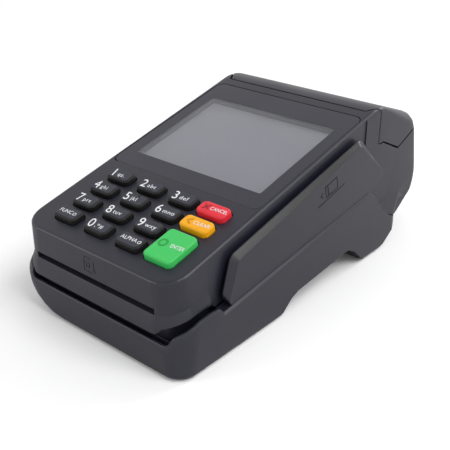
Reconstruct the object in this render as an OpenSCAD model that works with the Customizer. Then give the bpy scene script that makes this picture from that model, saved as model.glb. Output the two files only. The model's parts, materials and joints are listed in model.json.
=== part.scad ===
/* [Body] */
// Width of the lower housing
body_w = 81; // [80.5:0.25:83]
// Length over everything
body_l = 156.5; // [155:0.5:159]
// Step from the lower housing's left side in to the deck's left edge
left_step = 2.2; // [1.8:0.1:2.6]
// Width beside the deck's right edge, taken by the swipe channel and its rail
right_step = 4.8; // [4.5:0.1:5]
// Height of the deck's front edge above the table
deck_front_h = 33.3; // [32.5:0.1:35]
// Distance from the front of the lower housing back to the deck's front edge
deck_front_y = 1.7; // [1.4:0.1:2]
// Slope of the deck against the table
deck_tilt = 13.7; // [13:0.1:14.5]
// Wall thickness of the two housings
wall = 2.2; // [1.8:0.1:2.4]
// Plan radius of the deck's front corners
corner_r = 9; // [8:0.5:11]
// Rounding along the edge of the deck
edge_r = 1.2; // [0.8:0.1:1.6]
// Gap between neighbouring mouldings
seam_gap = 0.3; // [0.2:0.05:0.5]

/* [Lower housing] */
// Height of the rim at the front
rim_front_h = 12.1; // [11.6:0.1:12.6]
// Height of the rim behind the front corners
rim_climb_h = 20; // [19.4:0.2:20.4]
// Height of the rim where the swipe rail starts
rim_side_h = 17.6; // [17:0.2:18.4]
// Highest point of the rim, beside the printer
rim_peak_h = 30; // [28:0.5:31]
// Distance of that point from the rear of the body
rim_peak_rear = 47; // [45.5:0.5:48]
// Height of the rim at the rear
rim_rear_h = 10.7; // [10:0.1:11.4]
// Distance from the lower housing's rear face to the rear of the body
base_rear_inset = 20; // [19:0.5:21]
// Height of the bevel round the rim
rim_bevel = 1.5; // [1.1:0.1:1.9]
// Plan radius of the lower housing's corners
base_corner_r = 9; // [8:0.5:10]
// Rounding between the sides and the underside
base_round = 1.4; // [1:0.1:2]
// How far the left side turns in under the hand
grip_w = 22; // [18:0.5:23]
// Height at which the left side starts to turn in
grip_h = 12; // [10:0.5:13]
// Length of the battery bump from the front
bump_l = 52.5; // [51.5:0.5:54]
// Height of the raised underside behind the bump
arch_h = 6.6; // [5.5:0.1:7.5]
// Start of the rear foot, from the rear of the body
foot_rear = 49; // [47.5:0.5:50]
// Length of the flat under the rear foot
foot_l = 13; // [11:0.5:15]
// Height of the rubber pads below the underside
pad_h = 0.6; // [0.4:0.1:0.9]
// Radius of the rubber pads
pad_r = 3; // [2.5:0.1:3.2]

/* [Front] */
// Height of the shadow gap round the front
front_gap = 2.8; // [2.4:0.1:3.2]
// Depth of the jaw's upper edge below the deck
jaw_drop = 14.6; // [14:0.1:15.2]
// How far the jaw stands out from the front wall
jaw_flare = 1.1; // [0.6:0.1:1.2]
// How much rounder in plan the jaw's corners are than the deck's
jaw_round = 1; // [0.6:0.1:1.4]
// Distance from an end of the chip-card slot to the deck's side
slot_side = 7.8; // [7.2:0.1:8.4]
// Height of the chip-card slot
slot_h = 2.2; // [1.8:0.1:2.6]
// Depth of the slot's middle below the deck
slot_drop = 10.6; // [10.2:0.1:11]

/* [Swipe rail] */
// Thickness of the rail
rail_t = 2.4; // [2:0.1:2.6]
// Distance of the rail's front foot from the front
rail_front_y = 21.7; // [21:0.1:23]
// Distance of the rail's rear corner from the rear of the body
rail_rear = 34; // [33:0.5:35.5]
// Depth of the rail's top edge below the deck
rail_drop = 4.2; // [3.5:0.1:6]
// Width of the bevel round the rail
rail_bevel = 1.9; // [1.4:0.1:2]
// Corner radius of the rail
rail_corner_r = 4; // [2:0.25:5]

/* [Display] */
// Distance from the bezel plate to the deck's sides
bezel_side = 1.5; // [1.3:0.1:2.5]
// Distance of the bezel's lower edge from the deck's front edge
bezel_v = 44.6; // [43.5:0.1:45.5]
// Distance from the bezel's upper edge to the paper slit
bezel_rear = 5.4; // [4.6:0.1:6.5]
// Thickness of the bezel plate and its clear pane
bezel_t = 1.2; // [0.9:0.1:1.3]
// Corner radius of the bezel plate
bezel_r = 3; // [2:0.25:4]
// Distance from the clear window to the bezel's sides
window_side = 5.1; // [4.5:0.1:6.5]
// Distance from the window to the bezel's lower edge
window_front = 8.2; // [7:0.1:9.5]
// Distance from the window to the bezel's upper edge
window_rear = 11.2; // [10.4:0.1:13]
// Depth of the display module below the underside of the deck
lcd_drop = 0.8; // [0.6:0.1:1]
// Thickness of the display module
lcd_t = 2.2; // [2:0.05:2.5]

/* [Keys] */
// Width of a coloured key
color_key_w = 12.4; // [11:0.1:13]
// Gap between the dark keys of a row
key_space = 4.55; // [4:0.05:5]
// Gap between the dark keys and the coloured column
color_space = 2.15; // [2:0.05:3]
// Distance from the deck's left side to the middle of the first column
key_side = 15.5; // [15:0.1:16]
// Distance from the deck's right side to the middle of the coloured column
color_side = 13.3; // [12.8:0.1:13.6]
// Length of a key up the slope
key_l = 6.3; // [5.5:0.1:7]
// Distance between key rows
key_pitch_v = 8.67; // [8.2:0.01:9]
// Front edge of the first key row from the deck's front edge
key_first_v = 7; // [6:0.1:8]
// Height of a key above the deck
key_h = 2.2; // [1.5:0.1:2.6]
// Corner radius of a key
key_r = 1.9; // [1.2:0.1:2.4]
// Travel of a key
key_travel = 1; // [0.6:0.05:1]
// Clearance round a key in the deck
key_gap = 0.3; // [0.2:0.05:0.4]

/* [Printer] */
// Radius of the rounded rear
drum_r = 20; // [19.5:0.25:21]
// Height of the rounded rear's axis
drum_h = 24; // [23.5:0.25:25]
// Radius of the shoulder above the rounded rear
shoulder_r = 12; // [11:0.25:13]
// Rounding between the rounded rear and the sides
drum_rim = 5; // [4.5:0.25:6]
// Distance of the paper slit from the rear of the body
slit_rear = 42.49; // [41.8:0.01:43.2]
// Radius of the crest behind the paper slit
crest_r = 19; // [17:0.5:21]
// Thickness of the printer cover
cover_t = 2.2; // [1.8:0.1:2.6]
// Distance from the cover's end at the paper slit to the deck's side
cover_side = 3.4; // [3:0.1:4]
// Distance from the cover's end at its hinge to the deck's side
hinge_side = 8; // [7.6:0.1:9]
// Radius of the hinge pin
pin_r = 1.25; // [1:0.05:1.5]
// Height of the hinge above the rounded rear's axis
hinge_rise = 9.6; // [9:0.1:10.5]
// Inner radius of the paper trough
tray_r = 20; // [19:0.25:20.5]
// Distance from the inside of the paper trough to the deck's side
tray_side = 8; // [7.8:0.1:8.2]
// Radius of the platen roller
platen_r = 4.5; // [4:0.1:4.8]
// How much shorter the platen roller's rubber is than the paper trough
platen_short = 1; // [0.6:0.1:3]
// Radius of the platen shaft
shaft_r = 1.5; // [1.2:0.05:1.7]
// Depth of the platen's axis below the paper slit
platen_drop = 9; // [8.6:0.1:9.6]
// Tooth module of the gears
gear_module = 0.5; // [0.5]
// Teeth of the platen gear
platen_teeth = 20; // [20]
// Teeth of the idler gear
idler_teeth = 28; // [28]
// Teeth of the motor pinion
pinion_teeth = 14; // [14]
// Width of the gears
gear_w = 1.6; // [1.2:0.1:1.7]

/* [Inside] */
// Thickness of the main board
board_t = 1.6; // [1:0.1:1.6]
// Thickness of the keypad mat
mat_t = 1; // [0.8:0.1:1.2]
// Height of the chip-card reader
reader_h = 5.8; // [5:0.1:6.2]
// Thickness of the battery pack
battery_t = 7; // [6:0.1:7.4]
// Width beside the battery pack that is taken by the walls and the channel
battery_side = 11; // [11:0.5:15]
// Length of the bump that is left in front of and behind the battery pack
battery_ends = 20.5; // [20.5:0.5:23.5]

/* [Hidden] */
$fn = 48;

// Colours of the materials
charcoal = "#4b4b52";
charcoal_side = "#55555d";
key_dark = "#3c3c42";
steel = "#b9bcc2";
rubber = "#1d1d20";
board_green = "#1f5a3c";
white_plastic = "#d8d8d4";

// Places worked out from the sizes above
deck_w = body_w - left_step - right_step;
deck_x = -body_w / 2 + left_step + deck_w / 2;
deck_right = deck_x + deck_w / 2;
inner_w = deck_w - 2 * wall;
reach = 200;
sliver = 0.05;

function deck_y(v) = deck_front_y + v * cos(deck_tilt);
function deck_z(v) = deck_front_h + v * sin(deck_tilt);
function polar(r, a) = [r * cos(a), r * sin(a)];
function arc(c, r, a0, a1, steps) = [for (i = [0 : steps]) c + polar(r, a0 + (a1 - a0) * i / steps)];

rim_peak_y = body_l - rim_peak_rear;
foot_y = body_l - foot_rear;
rail_rear_y = body_l - rail_rear;
slot_w = deck_w - 2 * slot_side;
slit_v = (body_l - slit_rear - deck_front_y) / cos(deck_tilt);
cover_w = deck_w - 2 * cover_side;
cover_hinge_w = deck_w - 2 * hinge_side;
tray_w = deck_w - 2 * tray_side;
platen_l = tray_w - platen_short;
battery_w = body_w - grip_w - battery_side;
battery_l = bump_l - battery_ends;

// The display and the key columns share the deck
bezel_w = deck_w - 2 * bezel_side;
bezel_l = slit_v - bezel_v - bezel_rear;
window_w = bezel_w - 2 * window_side;
window_v = bezel_v + window_front;
window_l = bezel_l - window_front - window_rear;
key_first_u = key_side - deck_w / 2;
color_key_u = deck_w / 2 - color_side;
key_span = color_key_u - key_first_u - 2 * key_space - color_space;
key_w = (key_span - color_key_w / 2) / 2.5;
key_pitch_u = key_w + key_space;

drum_y = body_l - drum_r;
drum_c = [drum_y, drum_h];
slit_c = [deck_y(slit_v), deck_z(slit_v)];
base_l = body_l - base_rear_inset;
dip_r = 35.8;
dip_c = drum_c + [7.9, 21.1];
shoulder_c = drum_c + [4.5, 17.5];
crest_c = slit_c + polar(crest_r, deck_tilt - 90);
base_wall = left_step + 1.6;
rim_inset = 0.8;
rail_x = body_w / 2 - rim_inset - rail_t;
arch_fall = 3;
pane_gap = 0.05;
gasket_w = 1.9;
gasket_lip = 0.5;

// The rear face between the shoulder and the rounded rear
rear_gap = shoulder_c - drum_c;
rear_lean = atan2(rear_gap[1], rear_gap[0]) - acos((drum_r - shoulder_r) / norm(rear_gap));
function rear_y(z) = (drum_c * polar(1, rear_lean) + drum_r - sin(rear_lean) * z) / cos(rear_lean);

// Height of the underside behind the bump
function arch_z(y) = pad_h + arch_h + arch_fall * (y - bump_l - 10) / (foot_y - bump_l - 22);

// Coordinate frames: the front of the lower housing, and the deck
module from_front() translate([0, -body_l / 2, 0]) children();
module on_deck() translate([deck_x, deck_front_y, deck_front_h]) rotate([deck_tilt, 0, 0]) children();
module along_x(x0, x1) translate([x0, 0, 0]) rotate([90, 0, 90]) linear_extrude(x1 - x0) children();
module about_x(x, c) translate([x, c[0], c[1]]) rotate([90, 0, 90]) children();

// Plan outlines
module rounded_rect(w, l, r) {
    translate([-w / 2 + r, 0]) square([w - 2 * r, l]);
    translate([-w / 2, r]) square([w, l - 2 * r]);
    for (x = [r - w / 2, w / 2 - r], y = [r, l - r]) translate([x, y]) circle(r);
}

module front_rounded(w, l, r) {
    translate([-w / 2, r]) square([w, l - r]);
    translate([-w / 2 + r, 0]) square([w - 2 * r, r + 1]);
    for (x = [r - w / 2, w / 2 - r]) translate([x, r]) circle(r);
}

module base_plan(inset, left, r) translate([(left - inset) / 2, inset])
    rounded_rect(body_w - left - inset, base_l - 2 * inset, r);

module deck_plan(grow, l) translate([deck_x, deck_front_y - grow])
    front_rounded(deck_w + 2 * grow, l, corner_r + grow);

// Side outlines, with y to the right and z up
module rim_outline(drop) {
    side_drop = drop / 2;
    polygon([[0, pad_h], [0, rim_front_h - drop], [rail_front_y, rim_side_h - side_drop],
        [rim_peak_y, rim_peak_h - side_drop], [base_l, rim_rear_h - side_drop], [foot_y + foot_l, pad_h]]);
}

// The rim climbs round the front corners and falls again to the foot of the rail: place, share of the climb
rim_climb = [[rim_inset, 0], [1.6, 0.43], [3.4, 0.61], [6.3, 0.79], [10.4, 0.94], [15.2, 1]];
climb_end_y = rail_front_y - 2.2;
function rim_front(lift, side_lift) = [for (c = rim_climb) [c[0], (1 - c[1]) * (rim_front_h + lift)
    + c[1] * (rim_climb_h + side_lift)]];
function rim_fall(lift) = [[climb_end_y, rim_climb_h - 0.2 + lift], [rail_front_y, rim_side_h + lift]];

module climb_outline(drop) polygon(concat(rim_front(-drop, -drop), rim_fall(-drop),
    [[rail_front_y, rim_front_h - 3], [rim_inset, rim_front_h - 3]]));

module below_rim(lift) difference() {
    polygon(concat([[-5, -5], [-5, rim_front_h + lift]], rim_front(lift, lift), rim_fall(lift),
        [[rim_peak_y, rim_peak_h + lift], [base_l + lift, rim_rear_h + lift], [base_l + lift, -5]]));
    translate(dip_c + [0, lift]) circle(dip_r);
}

// The shadow gap is open in front and closes round the corners
module below_jaw() polygon(concat([[-5, -5], [-5, rim_front_h + front_gap]], rim_front(front_gap, seam_gap),
    [[rim_climb[5][0], -5]]));

// The slope under the rear, behind the lower housing
module below_rear(lift) polygon([[base_l - 5, rim_rear_h - 7 + lift], [base_l + 11.5, rim_rear_h + 4 + lift],
    [body_l + 5, rim_rear_h + 9.5 + lift], [body_l + 5, -5], [base_l - 5, -5]]);

// Turned solids
module ball(r) rotate_extrude($fn = 24) polygon([for (a = [-90 : 15 : 90]) polar(r, a)]);

module drum(r, half, rim) rotate_extrude($fn = 60) polygon(concat([[0, -half], [1, -half]],
    arc([r - rim, rim - half], rim, -90, 0, 4), arc([r - rim, half - rim], rim, 0, 90, 4),
    [[1, half], [0, half]]));

// Outer form of the deck, the sides and the rounded rear
module upper_form() hull() {
    for (s = [-1, 1], a = [0 : 15 : 90]) {
        x = deck_x + s * (deck_w / 2 - corner_r + (corner_r - edge_r) * sin(a));
        y = deck_front_y + corner_r - (corner_r - edge_r) * cos(a);
        translate([x, y, deck_front_h + (y - deck_front_y) * tan(deck_tilt) - edge_r / cos(deck_tilt)])
            rotate([deck_tilt, 0, 0]) ball(edge_r);
    }
    translate([0, 0, rim_front_h]) linear_extrude(1) deck_plan(0, 2 * corner_r);
    about_x(deck_x, drum_c) drum(drum_r, deck_w / 2 + 0.4, drum_rim);
    about_x(deck_x, shoulder_c) drum(shoulder_r, deck_w / 2 + 0.4, drum_rim);
    about_x(deck_x - 0.5, crest_c) rotate(deck_tilt) drum(crest_r, deck_w / 2 + 0.9, edge_r + 0.6);
}

// Side outline of the rear, inside its skin
module rear_outline(inset) hull() {
    translate(drum_c) circle(drum_r - inset);
    translate(shoulder_c) circle(shoulder_r - inset);
    translate(crest_c) circle(crest_r - inset);
}

// The jaw below the card slot, its top edge level with the deck
module jaw_slab(grow, r, drop, t) intersection() {
    linear_extrude(reach) translate([deck_x, deck_front_y - grow])
        front_rounded(deck_w + 2 * grow, 2 * corner_r, r);
    on_deck() translate([-reach / 2, -reach / 2, -drop - t]) cube([reach, reach, t]);
}

module jaw() hull() {
    jaw_slab(jaw_flare, corner_r + jaw_round, jaw_drop + 9, 1);
    jaw_slab(jaw_flare, corner_r + jaw_round, jaw_drop, 1);
    jaw_slab(0, corner_r, jaw_drop - 3, 0.2);
}

// The flared cheeks that meet the lower housing at the rear
module cheek_flare() hull() {
    translate([0, rim_peak_y - 1, rim_rear_h - 1]) linear_extrude(1)
        rounded_rect(body_w - 1.2, base_l - rim_peak_y, base_corner_r - 2);
    translate([deck_x, drum_y - 8, drum_h - 2]) linear_extrude(1)
        rounded_rect(deck_w - 2.4, drum_r + 5, 9);
}

// Regions of the printer cover
lug_front_y = slit_c[0] + 6;
lug_low = drum_c + [-0.5, 16.5];
knuckle_r = pin_r + 1.75;
hinge_c = [rear_y(drum_h + hinge_rise) - knuckle_r - 0.1, drum_h + hinge_rise];

// The lower edge of the cover's sides rises to the rear, and then runs round the hinge
lug_rise = 22.4;
lug_arc_r = (lug_low - hinge_c) * polar(1, 90 + lug_rise);

module lug_side(gap) polygon(concat([[lug_front_y - 20, 90], [lug_front_y - 20, lug_low[1] + 6 - gap],
    [lug_front_y + 3.3, lug_low[1] + 6 - gap], lug_low - [0, gap / cos(lug_rise)]],
    arc(hinge_c, lug_arc_r - gap, 90 + lug_rise, 70, 6), [[body_l + 5, hinge_c[1] + 10], [body_l + 5, 90]]));

module cover_plan(gap) polygon([[deck_x - cover_w / 2 - gap, slit_c[0] - gap],
    [deck_x + cover_w / 2 + gap, slit_c[0] - gap], [deck_x + deck_w / 2 + 1, lug_front_y + 1 - gap],
    [deck_x + deck_w / 2 + 4, lug_front_y + 1 - gap], [deck_x + deck_w / 2 + 4, body_l + 5],
    [deck_x - deck_w / 2 - 4, body_l + 5], [deck_x - deck_w / 2 - 4, lug_front_y + 1 - gap],
    [deck_x - deck_w / 2 - 1, lug_front_y + 1 - gap]]);

module cover_region(gap) {
    drop = gap > 0 ? knuckle_r + 0.6 : 0;
    intersection() {
        linear_extrude(reach) cover_plan(gap);
        along_x(-reach / 2, reach / 2) lug_side(gap);
    }
    along_x(deck_x - cover_hinge_w / 2 - gap, deck_x + cover_hinge_w / 2 + gap)
        polygon([lug_low - [0, 1], [body_l + 5, lug_low[1] + 12], [body_l + 5, hinge_c[1] - drop],
            [hinge_c[0] - 4, hinge_c[1] - drop]]);
}

// Hollow of the rear under the cover and round the paper trough
module rear_hollow() along_x(deck_x - inner_w / 2, deck_x + inner_w / 2) difference() {
    rear_outline(wall);
    difference() {
        intersection() {
            below_rear(1.2 * wall);
            translate([base_l + seam_gap, -5]) square([30, reach]);
        }
        translate(tray_c) circle(tray_r + tray_t + seam_gap);
    }
}

module hinge_blocks() for (s = [-1, 1])
    translate([deck_x + s * (cover_hinge_w / 2 + seam_gap + 5) - 5, hinge_c[0] - 5, hinge_c[1] - 6.5])
        cube([10, 20, reach]);

module front_hollow() intersection() {
    linear_extrude(reach) deck_plan(-wall, body_l);
    along_x(-reach / 2, reach / 2) polygon([[0, -5], [0, deck_front_h - wall / cos(deck_tilt)],
        [slit_c[0], slit_c[1] - wall / cos(deck_tilt)], [drum_y - 8, drum_h], [drum_y - 8, -5]]);
}

// Places of the printer's pieces
platen_dir = 225;
pinion_dir = 200;
platen_c = [slit_c[0] + 0.8 + platen_r, slit_c[1] - platen_drop];
idler_c = platen_c + polar(gear_module * (platen_teeth + idler_teeth) / 2, platen_dir);
pinion_c = idler_c + polar(gear_module * (idler_teeth + pinion_teeth) / 2, pinion_dir);
arm_x = platen_l / 2 + 0.7;
arm_t = 1.2;
frame_x = arm_x + arm_t + 0.5;
frame_t = 1;
gear_x = frame_x + frame_t + 0.7;
bush_r = shaft_r + 1.1;
tray_t = 1.6;
bar_w = tray_w + 4;
bar_t = 0.5;
tray_c = pinion_c + [27.54, -8.1];
motor_r = 7.2;
motor_bore = 0.85;
stud_r = 1.2;

// Card and screw places
screw_u = inner_w / 2 - 2.2;
screw_front = 34.5;
screw_back = 15.5;
screw_ys = [pinion_c[0] - screw_front, pinion_c[0] - screw_back];
screw_r = 1.2;
boss_r = 2.6;
board_rear = 22.6;
board_l = slit_v - key_first_v - board_rear;
reader_l = 48;
reader_wall = 1.6;
board_top = wall + lcd_drop + lcd_t;
board_low = board_top + board_t;
head_v = (screw_ys[0] - deck_front_y) / cos(deck_tilt) - 18;
head_drop = 14;

module boss_places() for (s = [-1, 1], y = screw_ys)
    translate([deck_x + s * screw_u, y, arch_z(y)]) children();

module card_slot() on_deck() translate([-slot_w / 2, -5, -slot_drop - slot_h / 2])
    cube([slot_w, wall + 10, slot_h]);

// Keys: name, column (3 is the coloured one), row from the front, rows covered
KEYS = [["key_func", 0, 0, 1], ["key_0", 1, 0, 1], ["key_alpha", 2, 0, 1],
    ["key_7", 0, 1, 1], ["key_8", 1, 1, 1], ["key_9", 2, 1, 1],
    ["key_4", 0, 2, 1], ["key_5", 1, 2, 1], ["key_6", 2, 2, 1],
    ["key_1", 0, 3, 1], ["key_2", 1, 3, 1], ["key_3", 2, 3, 1],
    ["key_enter", 3, 0, 2], ["key_clear", 3, 2, 1], ["key_cancel", 3, 3, 1]];

function key_row(name) = KEYS[search([name], KEYS)[0]];
function key_width(k) = k[1] == 3 ? color_key_w : key_w;
function key_length(k) = key_l + (k[3] - 1) * key_pitch_v;
function key_u(k) = k[1] == 3 ? color_key_u : key_first_u + k[1] * key_pitch_u;
function key_v(k) = key_first_v + k[2] * key_pitch_v;

module key_outline(k, grow) translate([key_u(k), key_v(k) - grow])
    rounded_rect(key_width(k) + 2 * grow, key_length(k) + 2 * grow, key_r + grow, $fn = 32);

module key(name) {
    k = key_row(name);
    on_deck() {
        hull() {
            translate([0, 0, -wall]) linear_extrude(sliver) key_outline(k, 0);
            translate([0, 0, key_h - 0.7]) linear_extrude(sliver) key_outline(k, -0.15);
            translate([0, 0, key_h - 0.25]) linear_extrude(sliver) key_outline(k, -0.4);
            translate([0, 0, key_h - sliver]) linear_extrude(sliver) key_outline(k, -0.85);
        }
        translate([0, 0, -wall - 0.8]) linear_extrude(0.8) key_outline(k, 0.8);
        translate([key_u(k), key_v(k) + key_length(k) / 2, mat_t + 0.15 - board_top])
            cylinder(h = board_top - mat_t - 0.15 - wall, r = 2.2);
    }
}

// Housings
module upper_housing() color(charcoal) from_front() {
    difference() {
        union() {
            upper_form();
            jaw();
            cheek_flare();
        }
        along_x(-reach / 2, reach / 2) {
            below_rim(seam_gap);
            below_rear(0);
        }
        along_x(-reach / 2, reach / 2) below_jaw();
        swipe_channel();
        difference() {
            union() {
                front_hollow();
                rear_hollow();
            }
            hinge_blocks();
        }
        cover_region(seam_gap);
        translate([deck_x - bar_w / 2 - 0.1, slit_c[0] - seam_gap - 0.1 - bar_t, slit_c[1] - 10])
            cube([bar_w + 0.2, 3, 9.1]);
        card_slot();
        on_deck() {
            for (k = KEYS) translate([0, 0, -reach / 2]) linear_extrude(reach) key_outline(k, key_gap);
            translate([0, bezel_v - 0.15, -bezel_t]) linear_extrude(5)
                rounded_rect(bezel_w + 0.3, bezel_l + 0.3, bezel_r);
            translate([0, window_v - gasket_w - 0.2, -5]) linear_extrude(5)
                rounded_rect(window_w + 2 * gasket_w + 0.4, window_l + 2 * gasket_w + 0.4, 1);
            translate([deck_w / 2 - wall - 1, head_v - 5.2, -head_drop - 3.2]) cube([wall + 2, 10.4, 6.4]);
        }
        about_x(deck_x - cover_hinge_w / 2 - 3.6, hinge_c)
            cylinder(h = cover_hinge_w + 7.2, r = pin_r + 0.02);
    }
    difference() {
        intersection() {
            boss_places() translate([0, 0, wall - 0.2]) cylinder(h = reach, r = boss_r);
            on_deck() translate([-reach / 2, 0, -reach - board_low]) cube([reach, reach, reach]);
            linear_extrude(reach) deck_plan(-wall / 2, body_l);
        }
        along_x(-reach / 2, reach / 2) underside(pad_h + wall + sliver);
        boss_places() cylinder(h = 12, r = screw_r);
    }
    mirrored_x() {
        translate([deck_x + frame_x + frame_t, pinion_c[0] - 9, pinion_c[1] - 5]) cube([4, 4, 10]);
        translate([deck_x + tray_w / 2 + tray_t, tray_c[0] - 3, drum_h - 3])
            cube([deck_w / 2 - tray_w / 2 - tray_t - 1, 6, 6]);
    }
}

module swipe_channel() translate([deck_right, rail_front_y - 3, 0])
    cube([20, rim_peak_y - rail_front_y + 3, reach]);

function base_inset(h) = h >= base_round ? 0
    : base_round - sqrt(base_round * base_round - pow(base_round - h, 2));
function grip_inset(h) = grip_w * (1 - sqrt(1 - pow(1 - min(h, grip_h) / grip_h, 2)));

// The widest level of the front, under its bevel
belt_h = rim_front_h - rim_bevel - pad_h;
corner_tuck = 2.5;
function corner_at(h) = base_corner_r - corner_tuck * (1 - h / belt_h);
module front_belt(start) translate([0, 0, pad_h + belt_h - sliver]) linear_extrude(sliver) intersection() {
    base_plan(0, grip_inset(belt_h), base_corner_r);
    translate([-reach / 2, start]) square([reach, rail_front_y - start]);
}

module lower_form() hull() {
    front_belt(0);
    intersection() {
        translate([0, 0, pad_h + grip_h]) linear_extrude(reach) base_plan(0, 0, base_corner_r);
        along_x(-reach / 2, reach / 2) rim_outline(rim_bevel);
    }
    intersection() {
        translate([0, 0, rim_front_h - 1]) linear_extrude(reach)
            base_plan(rim_inset, rim_inset, base_corner_r - rim_inset);
        along_x(-reach / 2, reach / 2) rim_outline(0);
    }
    for (h = [0, 0.3 * base_round, base_round, 0.25 * grip_h, 0.45 * grip_h, 0.7 * grip_h]) intersection() {
        translate([0, 0, pad_h + h]) linear_extrude(sliver)
            base_plan(base_inset(h), grip_inset(h) + base_inset(h), corner_at(h));
        along_x(-reach / 2, reach / 2) rim_outline(rim_bevel);
    }
}

// The part of the rim that climbs round the front corners
module rim_climb_form() hull() {
    front_belt(rim_inset);
    for (drop = [0, rim_bevel]) intersection() {
        inset = drop > 0 ? 0 : rim_inset;
        translate([0, 0, pad_h + grip_h]) linear_extrude(reach)
            base_plan(inset, inset, base_corner_r - inset);
        along_x(-reach / 2, reach / 2) climb_outline(drop);
    }
}

// The shadow gap goes down between the rim and the lip behind it
groove_wall = 1.6;
groove_depth = 5;
module rim_groove() intersection() {
    linear_extrude(reach) difference() {
        base_plan(groove_wall, groove_wall, base_corner_r - groove_wall);
        deck_plan(-wall - seam_gap, body_l);
    }
    along_x(-reach / 2, reach / 2) translate([0, -groove_depth]) polygon(concat(
        [[0, reach], [0, rim_front_h]], rim_front(0, 0), rim_fall(0), [[rail_front_y, reach]]));
}

// The raised underside between the bump and the rear foot
module underside(lift) {
    in = lift * 0.6;
    polygon([[bump_l - in, -5], [bump_l - in, lift], [bump_l + 6 - in, arch_h - 1.6 + lift],
        [bump_l + 10, arch_h + lift], [foot_y - 12, arch_h + arch_fall + lift],
        [foot_y - 7 + in, arch_h + lift], [foot_y + in, lift], [foot_y + in, -5]]);
}

// Cross-section inside the left side's turn, by its wall and floor
module grip_section(side, floor) rotate([90, 0, 0]) translate([0, 0, -reach])
    linear_extrude(reach) polygon(concat(
        [for (h = [0, 0.1, 0.25, 0.45, 0.7, 1] * grip_h)
            [side + grip_inset(h) - body_w / 2, pad_h + floor + h]],
        [[side - body_w / 2, 90], [body_w / 2, 90], [body_w / 2, pad_h + floor]]));

module lower_hollow() difference() {
    intersection() {
        linear_extrude(reach) difference() {
            base_plan(base_wall, base_wall, base_corner_r - base_wall);
            translate([deck_right + seam_gap, 0]) square([20, base_l]);
        }
        along_x(-reach / 2, reach / 2) polygon([[0, pad_h + wall], [0, 60], [base_l, 60],
            [base_l, rim_rear_h + wall], [foot_y + foot_l - 1, pad_h + wall]]);
        grip_section(wall, wall);
    }
    along_x(-reach / 2, reach / 2) underside(pad_h + wall);
}

battery_x = body_w / 2 - 9.6 - battery_w / 2;
battery_y = (bump_l - battery_l) / 2;
door_ledge = 1.2;

module door_plan(grow) translate([battery_x, battery_y - 2 - grow])
    rounded_rect(battery_w + 4 + 2 * grow, battery_l + 4 + 2 * grow, 3 + grow);

module pad_places() for (x = [-15, body_w / 2 - 7], y = [4.8, foot_y + foot_l / 2])
    translate([x, y, 0]) children();

usb_w = 9;
usb_h = 3.2;
usb_y = (screw_ys[0] + screw_ys[1] - usb_w) / 2;
module usb_place() translate([-body_w / 2 + 0.6, usb_y, arch_h + 8]) children();

// The lip that stands behind the shadow gap
module front_lip() intersection() {
    linear_extrude(reach) difference() {
        deck_plan(-wall - seam_gap, body_l);
        deck_plan(-wall - seam_gap - 1.5, body_l);
    }
    along_x(-reach / 2, reach / 2) difference() {
        translate([0, pad_h + 1]) square([rail_front_y + 8, reach]);
        translate([0, front_gap + 1.5]) above_rim();
    }
    grip_section(1.5, 1);
}

module lower_housing() color(charcoal_side) from_front() difference() {
    union() {
        difference() {
            union() {
                lower_form();
                rim_climb_form();
            }
            lower_hollow();
            rim_groove();
        }
        front_lip();
    }
    along_x(-reach / 2, reach / 2) {
        underside(pad_h);
        translate(dip_c) circle(dip_r);
    }
    about_x(deck_x - tray_w / 2 - tray_t - seam_gap, tray_c)
        cylinder(h = tray_w + 2 * tray_t + 2 * seam_gap, r = tray_r + tray_t + seam_gap, $fn = 96);
    linear_extrude(pad_h + door_ledge) door_plan(0.2);
    linear_extrude(pad_h + wall + 1) door_plan(-1.2);
    pad_places() cylinder(h = pad_h + 0.6, r = pad_r);
    boss_places() {
        cylinder(h = wall + 2, r = screw_r + 0.2);
        translate([0, 0, -3]) cylinder(h = 4.35, r = 2.6);
        translate([0, 0, wall - 0.1]) cylinder(h = 8, r = boss_r + seam_gap);
    }
    usb_place() translate([-2, 0, 0]) cube([12, usb_w, usb_h]);
}

module above_rim() difference() {
    translate([-5, 0]) square([body_l + 10, reach]);
    below_rim(0);
}

function rail_top(y) = deck_front_h + (y - deck_front_y) * tan(deck_tilt) - rail_drop;

module rail_outline(inset) {
    front_low = [rail_front_y + inset, rim_side_h + sliver];
    front_top = [rail_front_y + 5.5 + inset, rail_top(rail_front_y + 5.5) - inset];
    rear_top = [rail_rear_y - 20 - inset, rail_top(rail_rear_y - 20) - inset];
    rear_low = [rail_rear_y - inset, rim_peak_h + 4.5];
    polygon([front_low, front_top, rear_top, rear_low, [rim_peak_y, rim_peak_h + sliver]]);
}

module rail_slab(x, t, inset) along_x(x, x + t) offset(r = rail_corner_r - inset)
    offset(delta = inset - rail_corner_r) rail_outline(inset);

module swipe_rail() color(charcoal_side) from_front() intersection() {
    hull() {
        rail_slab(rail_x, rail_t - rail_bevel, 0);
        rail_slab(rail_x + rail_t - sliver, sliver, rail_bevel);
    }
    along_x(0, body_w) above_rim();
}

// Display
module display_bezel() color(charcoal) from_front() on_deck() translate([0, bezel_v, -bezel_t]) difference() {
    linear_extrude(bezel_t) rounded_rect(bezel_w, bezel_l, bezel_r);
    translate([0, window_v - bezel_v, -1]) linear_extrude(bezel_t + 2) rounded_rect(window_w, window_l, 0.6);
}

module display_window() color("#d9dde0", 0.4) from_front() on_deck()
    translate([0, window_v + pane_gap, -bezel_t]) linear_extrude(bezel_t - pane_gap)
        rounded_rect(window_w - 2 * pane_gap, window_l - 2 * pane_gap, 0.6);

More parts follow.
